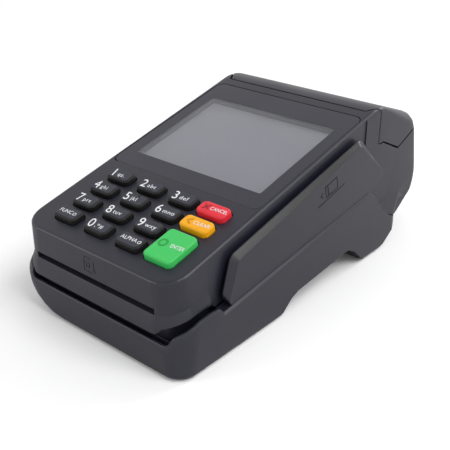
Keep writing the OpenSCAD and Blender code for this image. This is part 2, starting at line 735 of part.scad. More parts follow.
module display_gasket() color("#77777f") from_front() on_deck()
    translate([0, window_v, -wall - lcd_drop]) linear_extrude(wall + lcd_drop - bezel_t) difference() {
        translate([0, -gasket_w]) rounded_rect(window_w + 2 * gasket_w, window_l + 2 * gasket_w, 1);
        translate([0, gasket_lip]) rounded_rect(window_w - 2 * gasket_lip, window_l - 2 * gasket_lip, 0.5);
    }

module lcd_panel() color("#8f9097") from_front() on_deck()
    translate([0, window_v - gasket_w - 0.6, -wall - lcd_drop - lcd_t]) linear_extrude(lcd_t)
        rounded_rect(inner_w - 0.8, window_l + 2 * gasket_w + 0.8, 0.8);

// Boards and readers
module keypad_mat() color(rubber) from_front() on_deck() translate([0, 0, -board_top])
    linear_extrude(mat_t) difference() {
        translate([0, key_first_v - 2.5]) rounded_rect(inner_w - 5, 4 * key_pitch_v + 2.5, 2);
        for (k = KEYS) translate([key_u(k), key_v(k) + key_length(k) / 2]) circle(2.6);
    }

module main_board() color(board_green) from_front() on_deck() translate([0, key_first_v - 1, -board_low])
    linear_extrude(board_t) rounded_rect(inner_w - 4, board_l, 6);

module chip_card_reader() color("#2b2b2f") from_front() on_deck() difference() {
    translate([-slot_w / 2 - reader_wall, wall + 2.6, -board_low - reader_h])
        cube([slot_w + 2 * reader_wall, reader_l, reader_h]);
    translate([-slot_w / 2, 0, -slot_drop - slot_h / 2 + 0.3]) cube([slot_w, reader_l - 2, slot_h - 0.6]);
    translate([-8, 22, -slot_drop]) cube([16, 18, reach]);
}

module card_contacts() color("#c9a94a") from_front() on_deck() for (i = [0 : 3], j = [0, 1])
    translate([-3.81 + i * 2.54 - 0.4, 24 + j * 9, -board_low - 0.4]) {
        cube([0.8, 5, 0.4]);
        translate([0, 2, -1.2]) cube([0.8, 1, 1.3]);
    }

module stripe_head() color(steel) from_front() on_deck()
    translate([deck_w / 2 - wall - 1.1, head_v - 4.8, -head_drop - 2.8]) cube([wall + 1.4, 9.6, 5.6]);

module stripe_head_spring() color(steel) from_front() on_deck()
    translate([deck_w / 2 - wall - 0.02, head_v, -head_drop - 2]) linear_extrude(4)
        polygon([[0, -11], [0, -9], [-1.08, -5.5], [-1.08, 5.5], [0, 9], [0, 11],
            [-0.4, 11], [-0.4, 9.1], [-1.48, 5.7], [-1.48, -5.7], [-0.4, -9.1], [-0.4, -11]]);

// Printer
module mirrored_x() for (s = [0, 1])
    translate([deck_x, 0, 0]) mirror([s, 0, 0]) translate([-deck_x, 0, 0]) children();

module cover_shell() difference() {
    intersection() {
        upper_form();
        cover_region(0);
    }
    along_x(deck_x - cover_w / 2 + 1.2, deck_x + cover_w / 2 - 1.2) difference() {
        rear_outline(cover_t);
        translate(slit_c - [20, 3.2]) square([21.4, reach]);
    }
}

module cover_arms() mirrored_x() along_x(deck_x + arm_x, deck_x + arm_x + arm_t) intersection() {
    hull() {
        translate(platen_c) circle(bush_r + 0.6);
        translate(platen_c + [3, 4]) square([9, 4]);
    }
    rear_outline(cover_t / 2);
}

module printer_cover() color(charcoal) from_front() difference() {
    union() {
        cover_shell();
        cover_arms();
        about_x(deck_x - cover_hinge_w / 2, hinge_c) cylinder(h = cover_hinge_w, r = knuckle_r);
    }
    about_x(deck_x - deck_w / 2, hinge_c) cylinder(h = deck_w, r = pin_r + 0.05);
    about_x(deck_x - deck_w / 2, platen_c) cylinder(h = deck_w, r = bush_r);
    about_x(deck_x - gear_x - gear_w - 0.5, platen_c)
        cylinder(h = gear_w + 1, r = gear_module * platen_teeth / 2 + 1);
    about_x(deck_x - gear_x - gear_w - 0.5, idler_c)
        cylinder(h = gear_w + 1, r = gear_module * idler_teeth / 2 + 1);
}

module cover_hinge_pin() color(steel) from_front() about_x(deck_x - cover_hinge_w / 2 - 3.5, hinge_c)
    cylinder(h = cover_hinge_w + 7, r = pin_r);

module platen_bushes() color(white_plastic) from_front() mirrored_x()
    about_x(deck_x + arm_x, platen_c) difference() {
        cylinder(h = frame_x + frame_t - arm_x + 0.2, r = bush_r);
        translate([0, 0, -1]) cylinder(h = 10, r = shaft_r + 0.05);
    }

module platen_shaft() color(steel) from_front() about_x(deck_x - gear_x - gear_w - 0.2, platen_c)
    cylinder(h = gear_x + gear_w + 0.2 + frame_x + frame_t + 0.2, r = shaft_r);

module platen_roller() color(rubber) from_front() about_x(deck_x - platen_l / 2, platen_c) difference() {
    cylinder(h = platen_l, r = platen_r);
    translate([0, 0, -1]) cylinder(h = platen_l + 2, r = shaft_r);
}

// Involute gears
pressure = 20;
function inv(a) = tan(a) * 180 / PI - a;
function flank_angle(r, base, half) = half + inv(pressure) - inv(acos(base / r));
module gear_outline(teeth) {
    pitch_r = gear_module * teeth / 2;
    base = pitch_r * cos(pressure);
    tip = pitch_r + gear_module * 0.8;
    root = pitch_r - gear_module * 1.1;
    half = 90 / teeth - 0.05 / pitch_r * 180 / PI;
    steps = 3;
    radii = [for (i = [0 : steps]) base * 1.0001 + (tip - base * 1.0001) * i / steps];
    polygon([for (i = [0 : teeth - 1]) let (a = 360 * i / teeth) each concat(
        [polar(root, a - flank_angle(radii[0], base, half))],
        [for (r = radii) polar(r, a - flank_angle(r, base, half))],
        [for (j = [steps : -1 : 0]) polar(radii[j], a + flank_angle(radii[j], base, half))],
        [polar(root, a + flank_angle(radii[0], base, half))])]);
}

module gear(teeth, turn, bore) linear_extrude(gear_w) difference() {
    rotate(turn) gear_outline(teeth);
    if (bore > 0) circle(bore);
}

// Each gear is turned so that its teeth fall into its neighbour's spaces
idler_turn = platen_dir - 180 + 180 / idler_teeth;
idler_step = 360 / idler_teeth;
pinion_lag = pinion_dir - idler_turn - floor((pinion_dir - idler_turn) / idler_step) * idler_step;
pinion_turn = pinion_dir + 180 + pinion_lag * idler_teeth / pinion_teeth + 180 / pinion_teeth;

module gear_place(c) about_x(deck_x - gear_x - gear_w, c) children();

module platen_gear() color(white_plastic) from_front() gear_place(platen_c)
    gear(platen_teeth, platen_dir, shaft_r);

module idler_gear() color(white_plastic) from_front() gear_place(idler_c)
    gear(idler_teeth, idler_turn, stud_r + 0.05);

module motor_pinion() color("#c8a84a") from_front() gear_place(pinion_c) {
    gear(pinion_teeth, pinion_turn, 0);
    cylinder(h = gear_x + gear_w - frame_x + 5, r = motor_bore - 0.05);
}

module printer_frame() color(steel) from_front() {
    mirrored_x() along_x(deck_x + frame_x, deck_x + frame_x + frame_t) difference() {
        polygon([pinion_c + [-9, 8], pinion_c + [-9, -9], platen_c + [2, -17], platen_c + [bush_r + 3, -3],
            platen_c + [bush_r + 3, 3], platen_c + [-6, 5]]);
        hull() {
            translate(platen_c) circle(bush_r + 0.3);
            translate(platen_c + [6, 12]) circle(bush_r + 0.3);
        }
        translate(pinion_c) circle(1.3);
    }
    along_x(deck_x - frame_x, deck_x + frame_x) translate(platen_c + [-platen_r - 8, -5]) square([1, 9]);
    about_x(deck_x - gear_x - gear_w - 0.3, idler_c)
        cylinder(h = gear_x + gear_w + 0.3 - frame_x - frame_t / 2, r = stud_r);
}

module print_head() color("#c4c6c9") from_front()
    along_x(deck_x - platen_l / 2 + 0.5, deck_x + platen_l / 2 - 0.5)
        translate(platen_c + [-platen_r - 3.4, -8]) square([3.1, 13]);

module print_head_spring() color(steel) from_front()
    along_x(deck_x - 14, deck_x + 14) translate(platen_c + [-platen_r - 7, -4.5])
        polygon([[0, 0], [0.5, 0], [3.6, 4], [0.5, 8], [0, 8], [3.1, 4]]);

module stepper_motor() color("#8f9297") from_front() about_x(deck_x - frame_x, pinion_c) difference() {
    cylinder(h = 12, r = motor_r);
    translate([0, 0, -1]) cylinder(h = 7, r = motor_bore);
}

module tear_bar() color(steel) from_front()
    translate([deck_x - bar_w / 2, slit_c[0] - seam_gap - 0.1, slit_c[1] - 1])
        rotate([90, 0, 0]) linear_extrude(bar_t) polygon(concat(
            [for (i = [0 : floor(bar_w) - 1]) each [[i, -0.6], [i + 0.5, 0]]],
            [[bar_w, -0.6], [bar_w, -2.6], [0, -2.6]]));

module paper_tray() color("#3f3f45") from_front() difference() {
    about_x(deck_x - tray_w / 2 - tray_t, tray_c)
        cylinder(h = tray_w + 2 * tray_t, r = tray_r + tray_t, $fn = 96);
    about_x(deck_x - tray_w / 2, tray_c) cylinder(h = tray_w, r = tray_r, $fn = 96);
    along_x(-reach / 2, reach / 2) translate(tray_c)
        polygon([[-40, 4.4], [-10, 4.4], [2, -6], [40, -6], [40, 60], [-40, 60]]);
}

// Underside
module battery_pack() color("#3a4a5c") from_front() translate([battery_x, battery_y, pad_h + wall])
    linear_extrude(battery_t) rounded_rect(battery_w, battery_l, 2);

module battery_door() color(charcoal_side) from_front() translate([0, 0, pad_h]) {
    linear_extrude(door_ledge) door_plan(0);
    linear_extrude(wall) door_plan(-1.4);
}

module rubber_feet() color(rubber) from_front() pad_places() cylinder(h = pad_h + 0.6, r = pad_r);

module case_screws() color(steel) from_front() boss_places() {
    translate([0, 0, 0.15]) cylinder(h = 1.2, r = 2.2);
    cylinder(h = 11.5, r = screw_r);
}

module usb_socket() color(steel) from_front() usb_place() difference() {
    cube([6, usb_w, usb_h]);
    translate([-1, 0.4, 0.4]) cube([6, usb_w - 0.8, usb_h - 0.8]);
}

module key_dark_cap(name) color(key_dark) from_front() key(name);
module key_1() key_dark_cap("key_1");
module key_2() key_dark_cap("key_2");
module key_3() key_dark_cap("key_3");
module key_4() key_dark_cap("key_4");
module key_5() key_dark_cap("key_5");
module key_6() key_dark_cap("key_6");
module key_7() key_dark_cap("key_7");
module key_8() key_dark_cap("key_8");
module key_9() key_dark_cap("key_9");
module key_0() key_dark_cap("key_0");
module key_func() key_dark_cap("key_func");
module key_alpha() key_dark_cap("key_alpha");
module key_cancel() color("#e0454f") from_front() key("key_cancel");
module key_clear() color("#f6b81a") from_front() key("key_clear");
module key_enter() color("#4fcf72") from_front() key("key_enter");

lower_housing();
upper_housing();
swipe_rail();
display_bezel();
display_window();
display_gasket();
lcd_panel();
keypad_mat();
main_board();
chip_card_reader();
card_contacts();
stripe_head();
stripe_head_spring();
printer_frame();
print_head();
print_head_spring();
stepper_motor();
tear_bar();
paper_tray();
cover_hinge_pin();
battery_pack();
battery_door();
rubber_feet();
case_screws();
usb_socket();
printer_cover();
platen_bushes();
platen_roller();
platen_shaft();
platen_gear();
idler_gear();
motor_pinion();
key_1();
key_2();
key_3();
key_4();
key_5();
key_6();
key_7();
key_8();
key_9();
key_0();
key_func();
key_alpha();
key_cancel();
key_clear();
key_enter();
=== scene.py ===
"""Looks of a wedge-shaped payment terminal for a shop counter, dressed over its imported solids.

Everything is in metres in the frame of the solids: +X to the user's right, +Y to the rear,
+Z up, with the origin on the counter under the middle of the terminal. Sizes that a maker
would read off a drawing are in millimetres and turned to metres where they are used.
"""

import json
import logging
import math
from dataclasses import dataclass, replace
from enum import Enum
from typing import Any, Iterable, Sequence

import bmesh
import bpy
from mathutils import Matrix, Vector

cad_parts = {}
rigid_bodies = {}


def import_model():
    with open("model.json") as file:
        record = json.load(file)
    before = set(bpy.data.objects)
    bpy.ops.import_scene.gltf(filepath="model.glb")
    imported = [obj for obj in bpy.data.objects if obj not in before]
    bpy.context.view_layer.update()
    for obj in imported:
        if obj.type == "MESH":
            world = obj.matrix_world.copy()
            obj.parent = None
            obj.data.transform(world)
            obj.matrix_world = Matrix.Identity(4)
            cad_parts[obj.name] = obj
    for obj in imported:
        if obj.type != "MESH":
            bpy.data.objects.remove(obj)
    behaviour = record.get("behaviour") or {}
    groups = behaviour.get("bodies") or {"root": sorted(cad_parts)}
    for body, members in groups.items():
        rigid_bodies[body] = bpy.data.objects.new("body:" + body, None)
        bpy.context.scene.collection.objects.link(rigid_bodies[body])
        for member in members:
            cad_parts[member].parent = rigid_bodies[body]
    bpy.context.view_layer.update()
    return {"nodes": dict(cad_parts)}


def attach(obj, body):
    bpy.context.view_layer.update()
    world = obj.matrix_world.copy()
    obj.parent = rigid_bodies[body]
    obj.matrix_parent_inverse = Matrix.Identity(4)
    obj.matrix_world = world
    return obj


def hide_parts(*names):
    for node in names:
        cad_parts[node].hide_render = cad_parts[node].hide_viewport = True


BMesh = bmesh.types.BMesh
NodeTree = bpy.types.NodeTree
NodeSocket = bpy.types.NodeSocket
Point = tuple[float, float]
Place = tuple[float, float, float]

log = logging.getLogger("terminal")
MM = 0.001
# Points nearer than this are one point of a solid
WELD_MM = 0.002
# An edge from this angle up stays sharp
SHARP_DEG = 30.0
# Thickness of a printed film
INK_MM = 0.04
# Height of a capital as a share of the type's size
CAP_SHARE = 0.729
# Steps in a letter's curve and in a plate's rounded edge
LETTER_STEPS = 5
EDGE_STEPS = 2
# Least square of a band's mitre, which keeps its sharp corners short
MITRE_LIMIT = 0.4
# The body that carries what doesn't move
TERMINAL = "terminal"
# Inputs and output of the Mix node's colour form, whose names repeat
MIX_FACTOR, MIX_LOW, MIX_HIGH, MIX_RESULT = 0, 6, 7, 2

for leftover in list(bpy.data.objects):
    bpy.data.objects.remove(leftover)
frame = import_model()


def linear(hex_colour: str) -> tuple[float, float, float, float]:
    """Turns an sRGB hex colour to linear RGBA.

    Args:
        hex_colour: six hex digits after a hash sign.

    Returns:
        The linear red, green and blue, with an alpha of 1.
    """
    parts = [int(hex_colour[i:i + 2], 16) / 255 for i in (1, 3, 5)]
    return tuple(c / 12.92 if c <= 0.04045 else ((c + 0.055) / 1.055) ** 2.4 for c in parts) + (1.0,)


def shade(colour: Sequence[float], factor: float) -> tuple[float, ...]:
    """Returns a linear colour made darker or lighter by a factor."""
    return tuple(min(1.0, c * factor) for c in colour[:3]) + (1.0,)


def add(tree: NodeTree, kind: str, settings: dict[Any, Any] | None = None,
        links: dict[Any, NodeSocket] | None = None) -> bpy.types.Node:
    """Adds one node with its settings and links.

    Args:
        tree: the node tree that takes the node.
        kind: the node's type name.
        settings: values for the node's own properties, or for its inputs by name or number.
        links: the output that feeds each input, by the input's name or number.

    Returns:
        The new node.
    """
    node = tree.nodes.new(kind)
    for key, value in (settings or {}).items():
        if isinstance(key, str) and hasattr(node, key):
            setattr(node, key, value)
        else:
            node.inputs[key].default_value = value
    for key, source in (links or {}).items():
        tree.links.new(source, node.inputs[key])
    return node


def moved(x: float, y: float, z: float) -> Matrix:
    """Returns the frame at a point given in millimetres."""
    return Matrix.Translation(Vector((x, y, z)) * MM)


def turned(angle_deg: float, axis: str) -> Matrix:
    """Returns a turn about one of the frame's axes."""
    return Matrix.Rotation(math.radians(angle_deg), 4, axis)


class Surface(Enum):
    """How a surface was made, which sets the way its grain runs."""

    MOULDED = (1.0, 1.0, 1.0)
    BRUSHED = (0.03, 1.0, 1.0)
    ROLLED = (0.25, 1.0, 1.0)


@dataclass(frozen=True)
class Finish:
    """A material with the grain that its making leaves.

    The grain's size is a real one in millimetres, or as coarse as the render needs to show it.
    """

    name: str
    colour: str
    roughness: float
    ior: float = 1.5
    metallic: float = 0.0
    surface: Surface = Surface.MOULDED
    grain_mm: float = 0.7
    grain_depth_mm: float = 0.02
    drift_mm: float = 30.0
    drift: float = 0.06
    edge_mm: float = 0.25
    transmission: float = 0.0
    soft_mm: float = 0.0

    GRAIN_DETAIL = 3.0
    GRAIN_BREAK = 0.6
    DRIFT_DETAIL = 2.0
    NOISE_SPAN = (0.3, 0.7)
    GLOSS_SPREAD = 0.14
    EDGE_SAMPLES = 6
    SOFT_SHARE = 0.25

    def material(self) -> bpy.types.Material:
        """Makes the Blender material on first use.

        Returns:
            The material.
        """
        made = bpy.data.materials.get(self.name)
        if made is None:
            made = bpy.data.materials.new(self.name)
            made.use_nodes = True
            made.node_tree.nodes.clear()
            self.nodes(made.node_tree)
        return made

    def base(self, tree: NodeTree, drift: NodeSocket) -> NodeSocket:
        """Adds the colour's slow drift over the surface.

        Args:
            tree: the material's node tree.
            drift: a slow noise between 0 and 1.

        Returns:
            The colour socket for the shader.
        """
        colour = linear(self.colour)
        return add(tree, "ShaderNodeMix", {
            "data_type": "RGBA", MIX_LOW: shade(colour, 1 - self.drift),
            MIX_HIGH: shade(colour, 1 + self.drift)}, {MIX_FACTOR: drift}).outputs[MIX_RESULT]

    def nodes(self, tree: NodeTree) -> None:
        """Adds the shader with its grain, drift and softened edges.

        Args:
            tree: the material's node tree.
        """
        place = add(tree, "ShaderNodeTexCoord").outputs["Object"]
        run = add(tree, "ShaderNodeMapping", {"Scale": self.surface.value}, {"Vector": place}).outputs[0]
        grain = add(tree, "ShaderNodeTexNoise", {
            "Scale": 1 / (self.grain_mm * MM), "Detail": self.GRAIN_DETAIL, "Roughness": self.GRAIN_BREAK},
            {"Vector": run}).outputs[0]
        drift = add(tree, "ShaderNodeTexNoise", {
            "Scale": 1 / (self.drift_mm * MM), "Detail": self.DRIFT_DETAIL}, {"Vector": place}).outputs[0]
        low, high = self.NOISE_SPAN
        gloss = add(tree, "ShaderNodeMapRange", {
            "From Min": low, "From Max": high, "To Min": self.roughness * (1 - self.GLOSS_SPREAD),
            "To Max": min(1.0, self.roughness * (1 + self.GLOSS_SPREAD))}, {"Value": drift}).outputs[0]
        rounded = add(tree, "ShaderNodeBevel", {
            "samples": self.EDGE_SAMPLES, "Radius": self.edge_mm * MM}).outputs[0]
        relief = add(tree, "ShaderNodeBump", {
            "Strength": 1.0, "Distance": self.grain_depth_mm * MM},
            {"Height": grain, "Normal": rounded}).outputs[0]
        shader = add(tree, "ShaderNodeBsdfPrincipled", {
            "Metallic": self.metallic, "IOR": self.ior, "Transmission Weight": self.transmission,
            "Subsurface Weight": self.SOFT_SHARE if self.soft_mm else 0.0,
            "Subsurface Scale": self.soft_mm * MM},
            {"Base Color": self.base(tree, drift), "Roughness": gloss, "Normal": relief})
        add(tree, "ShaderNodeOutputMaterial", links={"Surface": shader.outputs[0]})


@dataclass(frozen=True)
class TwoToneFinish(Finish):
    """A finish with its own colour on the faces that look one way, and a second colour on the rest."""

    # Near black: on the dark keys, painted shade and reflection on the sloped edges and sides
    side_colour: str = "#060608"
    toward: Place = (0.0, -0.2368, 0.9716)

    FLAT_SPAN = (0.9, 0.98)

    def flat(self, tree: NodeTree) -> NodeSocket:
        """Adds a mask that is 1 on the faces that look that way, or straight back, and 0 on the rest.

        Args:
            tree: the material's node tree.

        Returns:
            The mask's socket.
        """
        normal = add(tree, "ShaderNodeTexCoord").outputs["Normal"]
        facing = add(tree, "ShaderNodeVectorMath", {"operation": "DOT_PRODUCT", 1: self.toward},
                     {0: normal})
        either = add(tree, "ShaderNodeMath", {"operation": "ABSOLUTE"}, {0: facing.outputs["Value"]})
        low, high = self.FLAT_SPAN
        return add(tree, "ShaderNodeMapRange", {"From Min": low, "From Max": high},
                   {"Value": either.outputs[0]}).outputs[0]

    def base(self, tree: NodeTree, drift: NodeSocket) -> NodeSocket:
        """Adds the colour of the faces that look one way over the colour of the rest.

        Args:
            tree: the material's node tree.
            drift: a slow noise between 0 and 1.

        Returns:
            The colour socket for the shader.
        """
        face = Finish.base(self, tree, drift)
        return add(tree, "ShaderNodeMix", {"data_type": "RGBA", MIX_LOW: linear(self.side_colour)},
                   {MIX_FACTOR: self.flat(tree), MIX_HIGH: face}).outputs[MIX_RESULT]


@dataclass(frozen=True)
class CutPaneFinish(TwoToneFinish):
    """Clear sheet whose cut edge is rough and grey, so that no light enters there."""

    side_colour: str = "#7e7e86"

    def nodes(self, tree: NodeTree) -> None:
        """Adds the shader, clear through the flat faces only.

        Args:
            tree: the material's node tree.
        """
        Finish.nodes(self, tree)
        shader = next(node for node in tree.nodes if node.type == "BSDF_PRINCIPLED")
        tree.links.new(self.flat(tree), shader.inputs["Transmission Weight"])


class Finishes:
    """The finishes of the terminal."""

    # ABS and polycarbonate blend off a spark-eroded mould: a fine even grain and a soft broad gloss
    HOUSING = Finish("abs_blend_spark_textured_charcoal", "#1e1e2a", 0.4, ior=1.53)
    # The same blend for the lower mouldings, from a slightly coarser tool
    BASE = Finish("abs_blend_spark_textured_dark_grey", "#1e1e2a", 0.36, ior=1.53, grain_mm=0.8)
    # The same blend for the rail, with painted reflection on its upper chamfer: there it is coloured near
    # black, darker than its faces
    RAIL = TwoToneFinish("abs_blend_painted_reflection_chamfer", "#0a0a10", 0.36, ior=1.53, grain_mm=0.8,
                         side_colour="#1e1e2a", toward=(0.69, -0.175, 0.70))
    # Polycarbonate film with a printed back: smooth and satin, a touch lighter than the housing
    BEZEL = Finish("polycarbonate_printed_satin", "#20202d", 0.4, ior=1.58, grain_mm=0.9,
                   grain_depth_mm=0.006)
    # Cast acrylic sheet with a hard coat: clear and glossy, with a grey cut edge
    WINDOW = CutPaneFinish("acrylic_cast_hard_coated", "#f4f6f8", 0.03, ior=1.49, grain_mm=8.0,
                           grain_depth_mm=0.0002, drift=0.01, edge_mm=0.02, transmission=1.0)
    # Closed-cell foam, die cut: dull grey with fine open cells at the cut
    GASKET = Finish("polyurethane_foam_die_cut", "#7a7a82", 0.8, grain_mm=0.6, grain_depth_mm=0.01,
                    edge_mm=0.02)
    # Display glass behind a polariser film, switched off: an even cool grey
    DISPLAY = Finish("polariser_film_laminated", "#aaa6b0", 0.5, ior=1.5, grain_mm=1.5,
                     grain_depth_mm=0.0002, drift_mm=45.0, drift=0.03)
    # Silicone rubber keys: dark grey flat tops, with painted shade in near black on their sloped edges and
    # sides
    DARK_KEY = TwoToneFinish("silicone_dark_painted_shade_sides", "#32323d", 0.55, ior=1.43, grain_mm=0.5,
                             edge_mm=0.1)
    # Silicone rubber pigmented through: soft light inside the edges
    RED_KEY = Finish("silicone_moulded_red", "#d92a39", 0.42, ior=1.43, grain_mm=0.5, edge_mm=0.12,
                     soft_mm=0.6)
    YELLOW_KEY = replace(RED_KEY, name="silicone_moulded_yellow", colour="#eaa404")
    GREEN_KEY = replace(RED_KEY, name="silicone_moulded_green", colour="#3dbd5d")
    # Marks moulded on the coloured keys, coloured a darker painted shade of the key's colour
    RED_MARK = Finish("silicone_red_painted_shade_mark", "#a31624", 0.45, ior=1.43, grain_mm=0.5)
    YELLOW_MARK = replace(RED_MARK, name="silicone_yellow_painted_shade_mark", colour="#c98500")
    GREEN_MARK = replace(RED_MARK, name="silicone_green_painted_shade_mark", colour="#239a42")
    # Two-part ink, pad printed: a thin matt film
    WHITE_INK = Finish("epoxy_ink_pad_printed_white", "#dfdfe2", 0.5, grain_mm=0.4, grain_depth_mm=0.004)
    # Painted shadow of a recessed line: near-black thin bands, raised a little, stand in for the shade in
    # the groove
    RECESS_SHADOW = Finish("abs_blend_painted_recess_shadow", "#050507", 0.85, grain_mm=0.5)
    # Natural rubber, moulded: dull black
    RUBBER = Finish("rubber_moulded_black", "#1a1a1c", 0.75, ior=1.52, grain_mm=0.6, grain_depth_mm=0.04)
    # Glass-filled nylon, moulded: dark and slightly streaked
    NYLON = Finish("nylon_glass_filled_black", "#232327", 0.55, ior=1.53, grain_mm=1.2, grain_depth_mm=0.03,
                   drift=0.12)
    # Acetal, moulded: waxy white
    ACETAL = Finish("acetal_moulded_white", "#d9d9d3", 0.35, ior=1.48, grain_mm=0.9, soft_mm=0.5)
    # Cold-rolled steel sheet, zinc plated: a fine rolling grain
    STEEL = Finish("steel_rolled_zinc_plated", "#b4b7bc", 0.32, metallic=1.0, surface=Surface.ROLLED,
                   grain_mm=0.8, grain_depth_mm=0.008, drift=0.1, edge_mm=0.1)
    # Steel bar, ground: bright, with fine lines round it
    GROUND = Finish("steel_ground_bright", "#c2c4c8", 0.22, metallic=1.0, surface=Surface.BRUSHED,
                    grain_mm=0.4, grain_depth_mm=0.004, edge_mm=0.1)
    # Brass, hobbed: a warm yellow shine with fine tool lines
    BRASS = Finish("brass_hobbed", "#c9a24a", 0.3, metallic=1.0, surface=Surface.BRUSHED, grain_mm=0.5,
                   grain_depth_mm=0.01, edge_mm=0.05)
    # Copper alloy, gold plated: a soft warm shine
    GOLD = Finish("copper_alloy_gold_plated", "#d6b25e", 0.25, metallic=1.0, grain_mm=0.5,
                  grain_depth_mm=0.004, edge_mm=0.05)
    # Alumina with a glass glaze: a smooth off-white print head
    CERAMIC = Finish("alumina_glazed", "#cfcfc8", 0.28, ior=1.76, grain_mm=0.8, grain_depth_mm=0.01)
    # Resistor paste under its glaze: a glossy dark line on the print head
    RESISTOR = Finish("resistor_paste_glazed", "#3b2b24", 0.2, ior=1.6, grain_mm=0.6, grain_depth_mm=0.004)
    # Glass epoxy laminate under solder mask: a mottled green with a satin gloss
    BOARD = Finish("glass_epoxy_solder_mask_green", "#1d5a3a", 0.35, ior=1.55, grain_mm=1.0,
                   grain_depth_mm=0.02, drift_mm=6.0, drift=0.18)
    # Polyester film shrunk over the battery cells: a smooth dark blue skin with slow waves
    SHRINK = Finish("polyester_shrink_film_blue", "#2b3a4e", 0.3, ior=1.57, grain_mm=4.0,
                    grain_depth_mm=0.05)


@dataclass(frozen=True)
class Deck:
    """The sloped deck's own axes in millimetres: u to the right, v up the slope, w out of it."""

    middle_x: float = -1.3
    front_y: float = -76.55
    front_z: float = 33.3
    tilt_deg: float = 13.7

    def at(self, u: float, v: float, w: float) -> Matrix:
        """Returns the frame that stands on the deck at a point.

        Args:
            u: millimetres to the right of the deck's middle.
            v: millimetres up the slope from the deck's front edge.
            w: millimetres above the deck.

        Returns:
            A matrix whose axes are the deck's, in metres.
        """
        corner = moved(self.middle_x, self.front_y, self.front_z)
        return corner @ turned(self.tilt_deg, "X") @ moved(u, v, w)


def dress(names: Iterable[str], finish: Finish, sharp_deg: float = SHARP_DEG) -> None:
    """Gives CAD nodes a finish and smooth shading between their sharp edges.

    Args:
        names: the nodes.
        finish: the finish they take.
        sharp_deg: the angle from which an edge stays sharp.
    """
    for name in names:
        node = frame["nodes"][name]
        node.data.materials.clear()
        node.data.materials.append(finish.material())
        smooth(node, sharp_deg)
        log.info("dressed %s in %s", name, finish.name)


def smooth(piece: bpy.types.Object, sharp_deg: float) -> None:
    """Shades a piece smoothly between the edges that are sharper than an angle.

    Args:
        piece: the piece.
        sharp_deg: the angle from which an edge stays sharp.
    """
    piece.data.polygons.foreach_set("use_smooth", [True] * len(piece.data.polygons))
    piece.modifiers.new("weld", "WELD").merge_threshold = WELD_MM * MM
    piece.modifiers.new("sharp_edges", "EDGE_SPLIT").split_angle = math.radians(sharp_deg)
    piece.modifiers.new("even_normals", "WEIGHTED_NORMAL").keep_sharp = True


def stand(name: str, data: bpy.types.ID) -> bpy.types.Object:
    """Puts an object with its data in the scene.

    Args:
        name: the object's name.
        data: its mesh, curve, light or camera.

    Returns:
        The new object.
    """
    thing = bpy.data.objects.new(name, data)
    bpy.context.scene.collection.objects.link(thing)
    return thing


def settle(name: str, mesh: BMesh) -> bpy.types.Object:
    """Puts a mesh in the scene as an object, with its faces turned outward.

    Args:
        name: the object's name.
        mesh: its shape, which is freed.

    Returns:
        The new object.
    """
    bmesh.ops.recalc_face_normals(mesh, faces=mesh.faces)
    data = bpy.data.meshes.new(name)
    mesh.to_mesh(data)
    mesh.free()
    return stand(name, data)


def make(name: str, mesh: BMesh, finish: Finish, body: str) -> bpy.types.Object:
    """Makes a piece from a mesh, and lets it ride on a body.

    Args:
        name: the piece's name.
        mesh: its shape in the row frame, which is freed.
        finish: its finish.
        body: the CAD body that carries it.

    Returns:
        The new object.
    """
    piece = settle(name, mesh)
    piece.data.materials.append(finish.material())
    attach(piece, body)
    log.info("made %s on %s", name, body)
    return piece


def carve(name: str, node_name: str, knives: Iterable[BMesh], finish: Finish) -> bpy.types.Object:
    """Makes a copy of a CAD node of the terminal's own body with shapes cut away.

    Args:
        name: the copy's name.
        node_name: the node.
        knives: the closed shapes that are cut away, in the row frame, which are freed.
        finish: the copy's finish.

    Returns:
        The new object.
    """
    node = frame["nodes"][node_name]
    mesh = bmesh.new()
    mesh.from_mesh(node.data)
    mesh.transform(node.matrix_world)
    bmesh.ops.remove_doubles(mesh, verts=mesh.verts, dist=WELD_MM * MM)
    piece = make(name, mesh, finish, TERMINAL)
    holders = []
    for knife in knives:
        holder = settle("knife", knife)
        cut = piece.modifiers.new("cut", "BOOLEAN")
        cut.operation = "DIFFERENCE"
        cut.object = holder
        holders.append(holder)
    shape = bpy.data.meshes.new_from_object(piece.evaluated_get(bpy.context.evaluated_depsgraph_get()))
    piece.modifiers.clear()
    piece.data = shape
    for holder in holders:
        bpy.data.objects.remove(holder)
    smooth(piece, SHARP_DEG)
    return piece


def pour(mesh: BMesh, curve: bpy.types.Curve, place: Matrix) -> None:
    """Adds a filled curve to a mesh as a solid, and deletes the curve.

    Args:
        mesh: the mesh that takes it.
        curve: a flat curve with its depth.
        place: the frame that the curve is drawn in.
    """
    holder = stand(curve.name, curve)
    shape = bpy.data.meshes.new_from_object(holder.evaluated_get(bpy.context.evaluated_depsgraph_get()))
    bpy.data.objects.remove(holder)
    bpy.data.curves.remove(curve)
    shape.transform(place)
    mesh.from_mesh(shape)
    bpy.data.meshes.remove(shape)


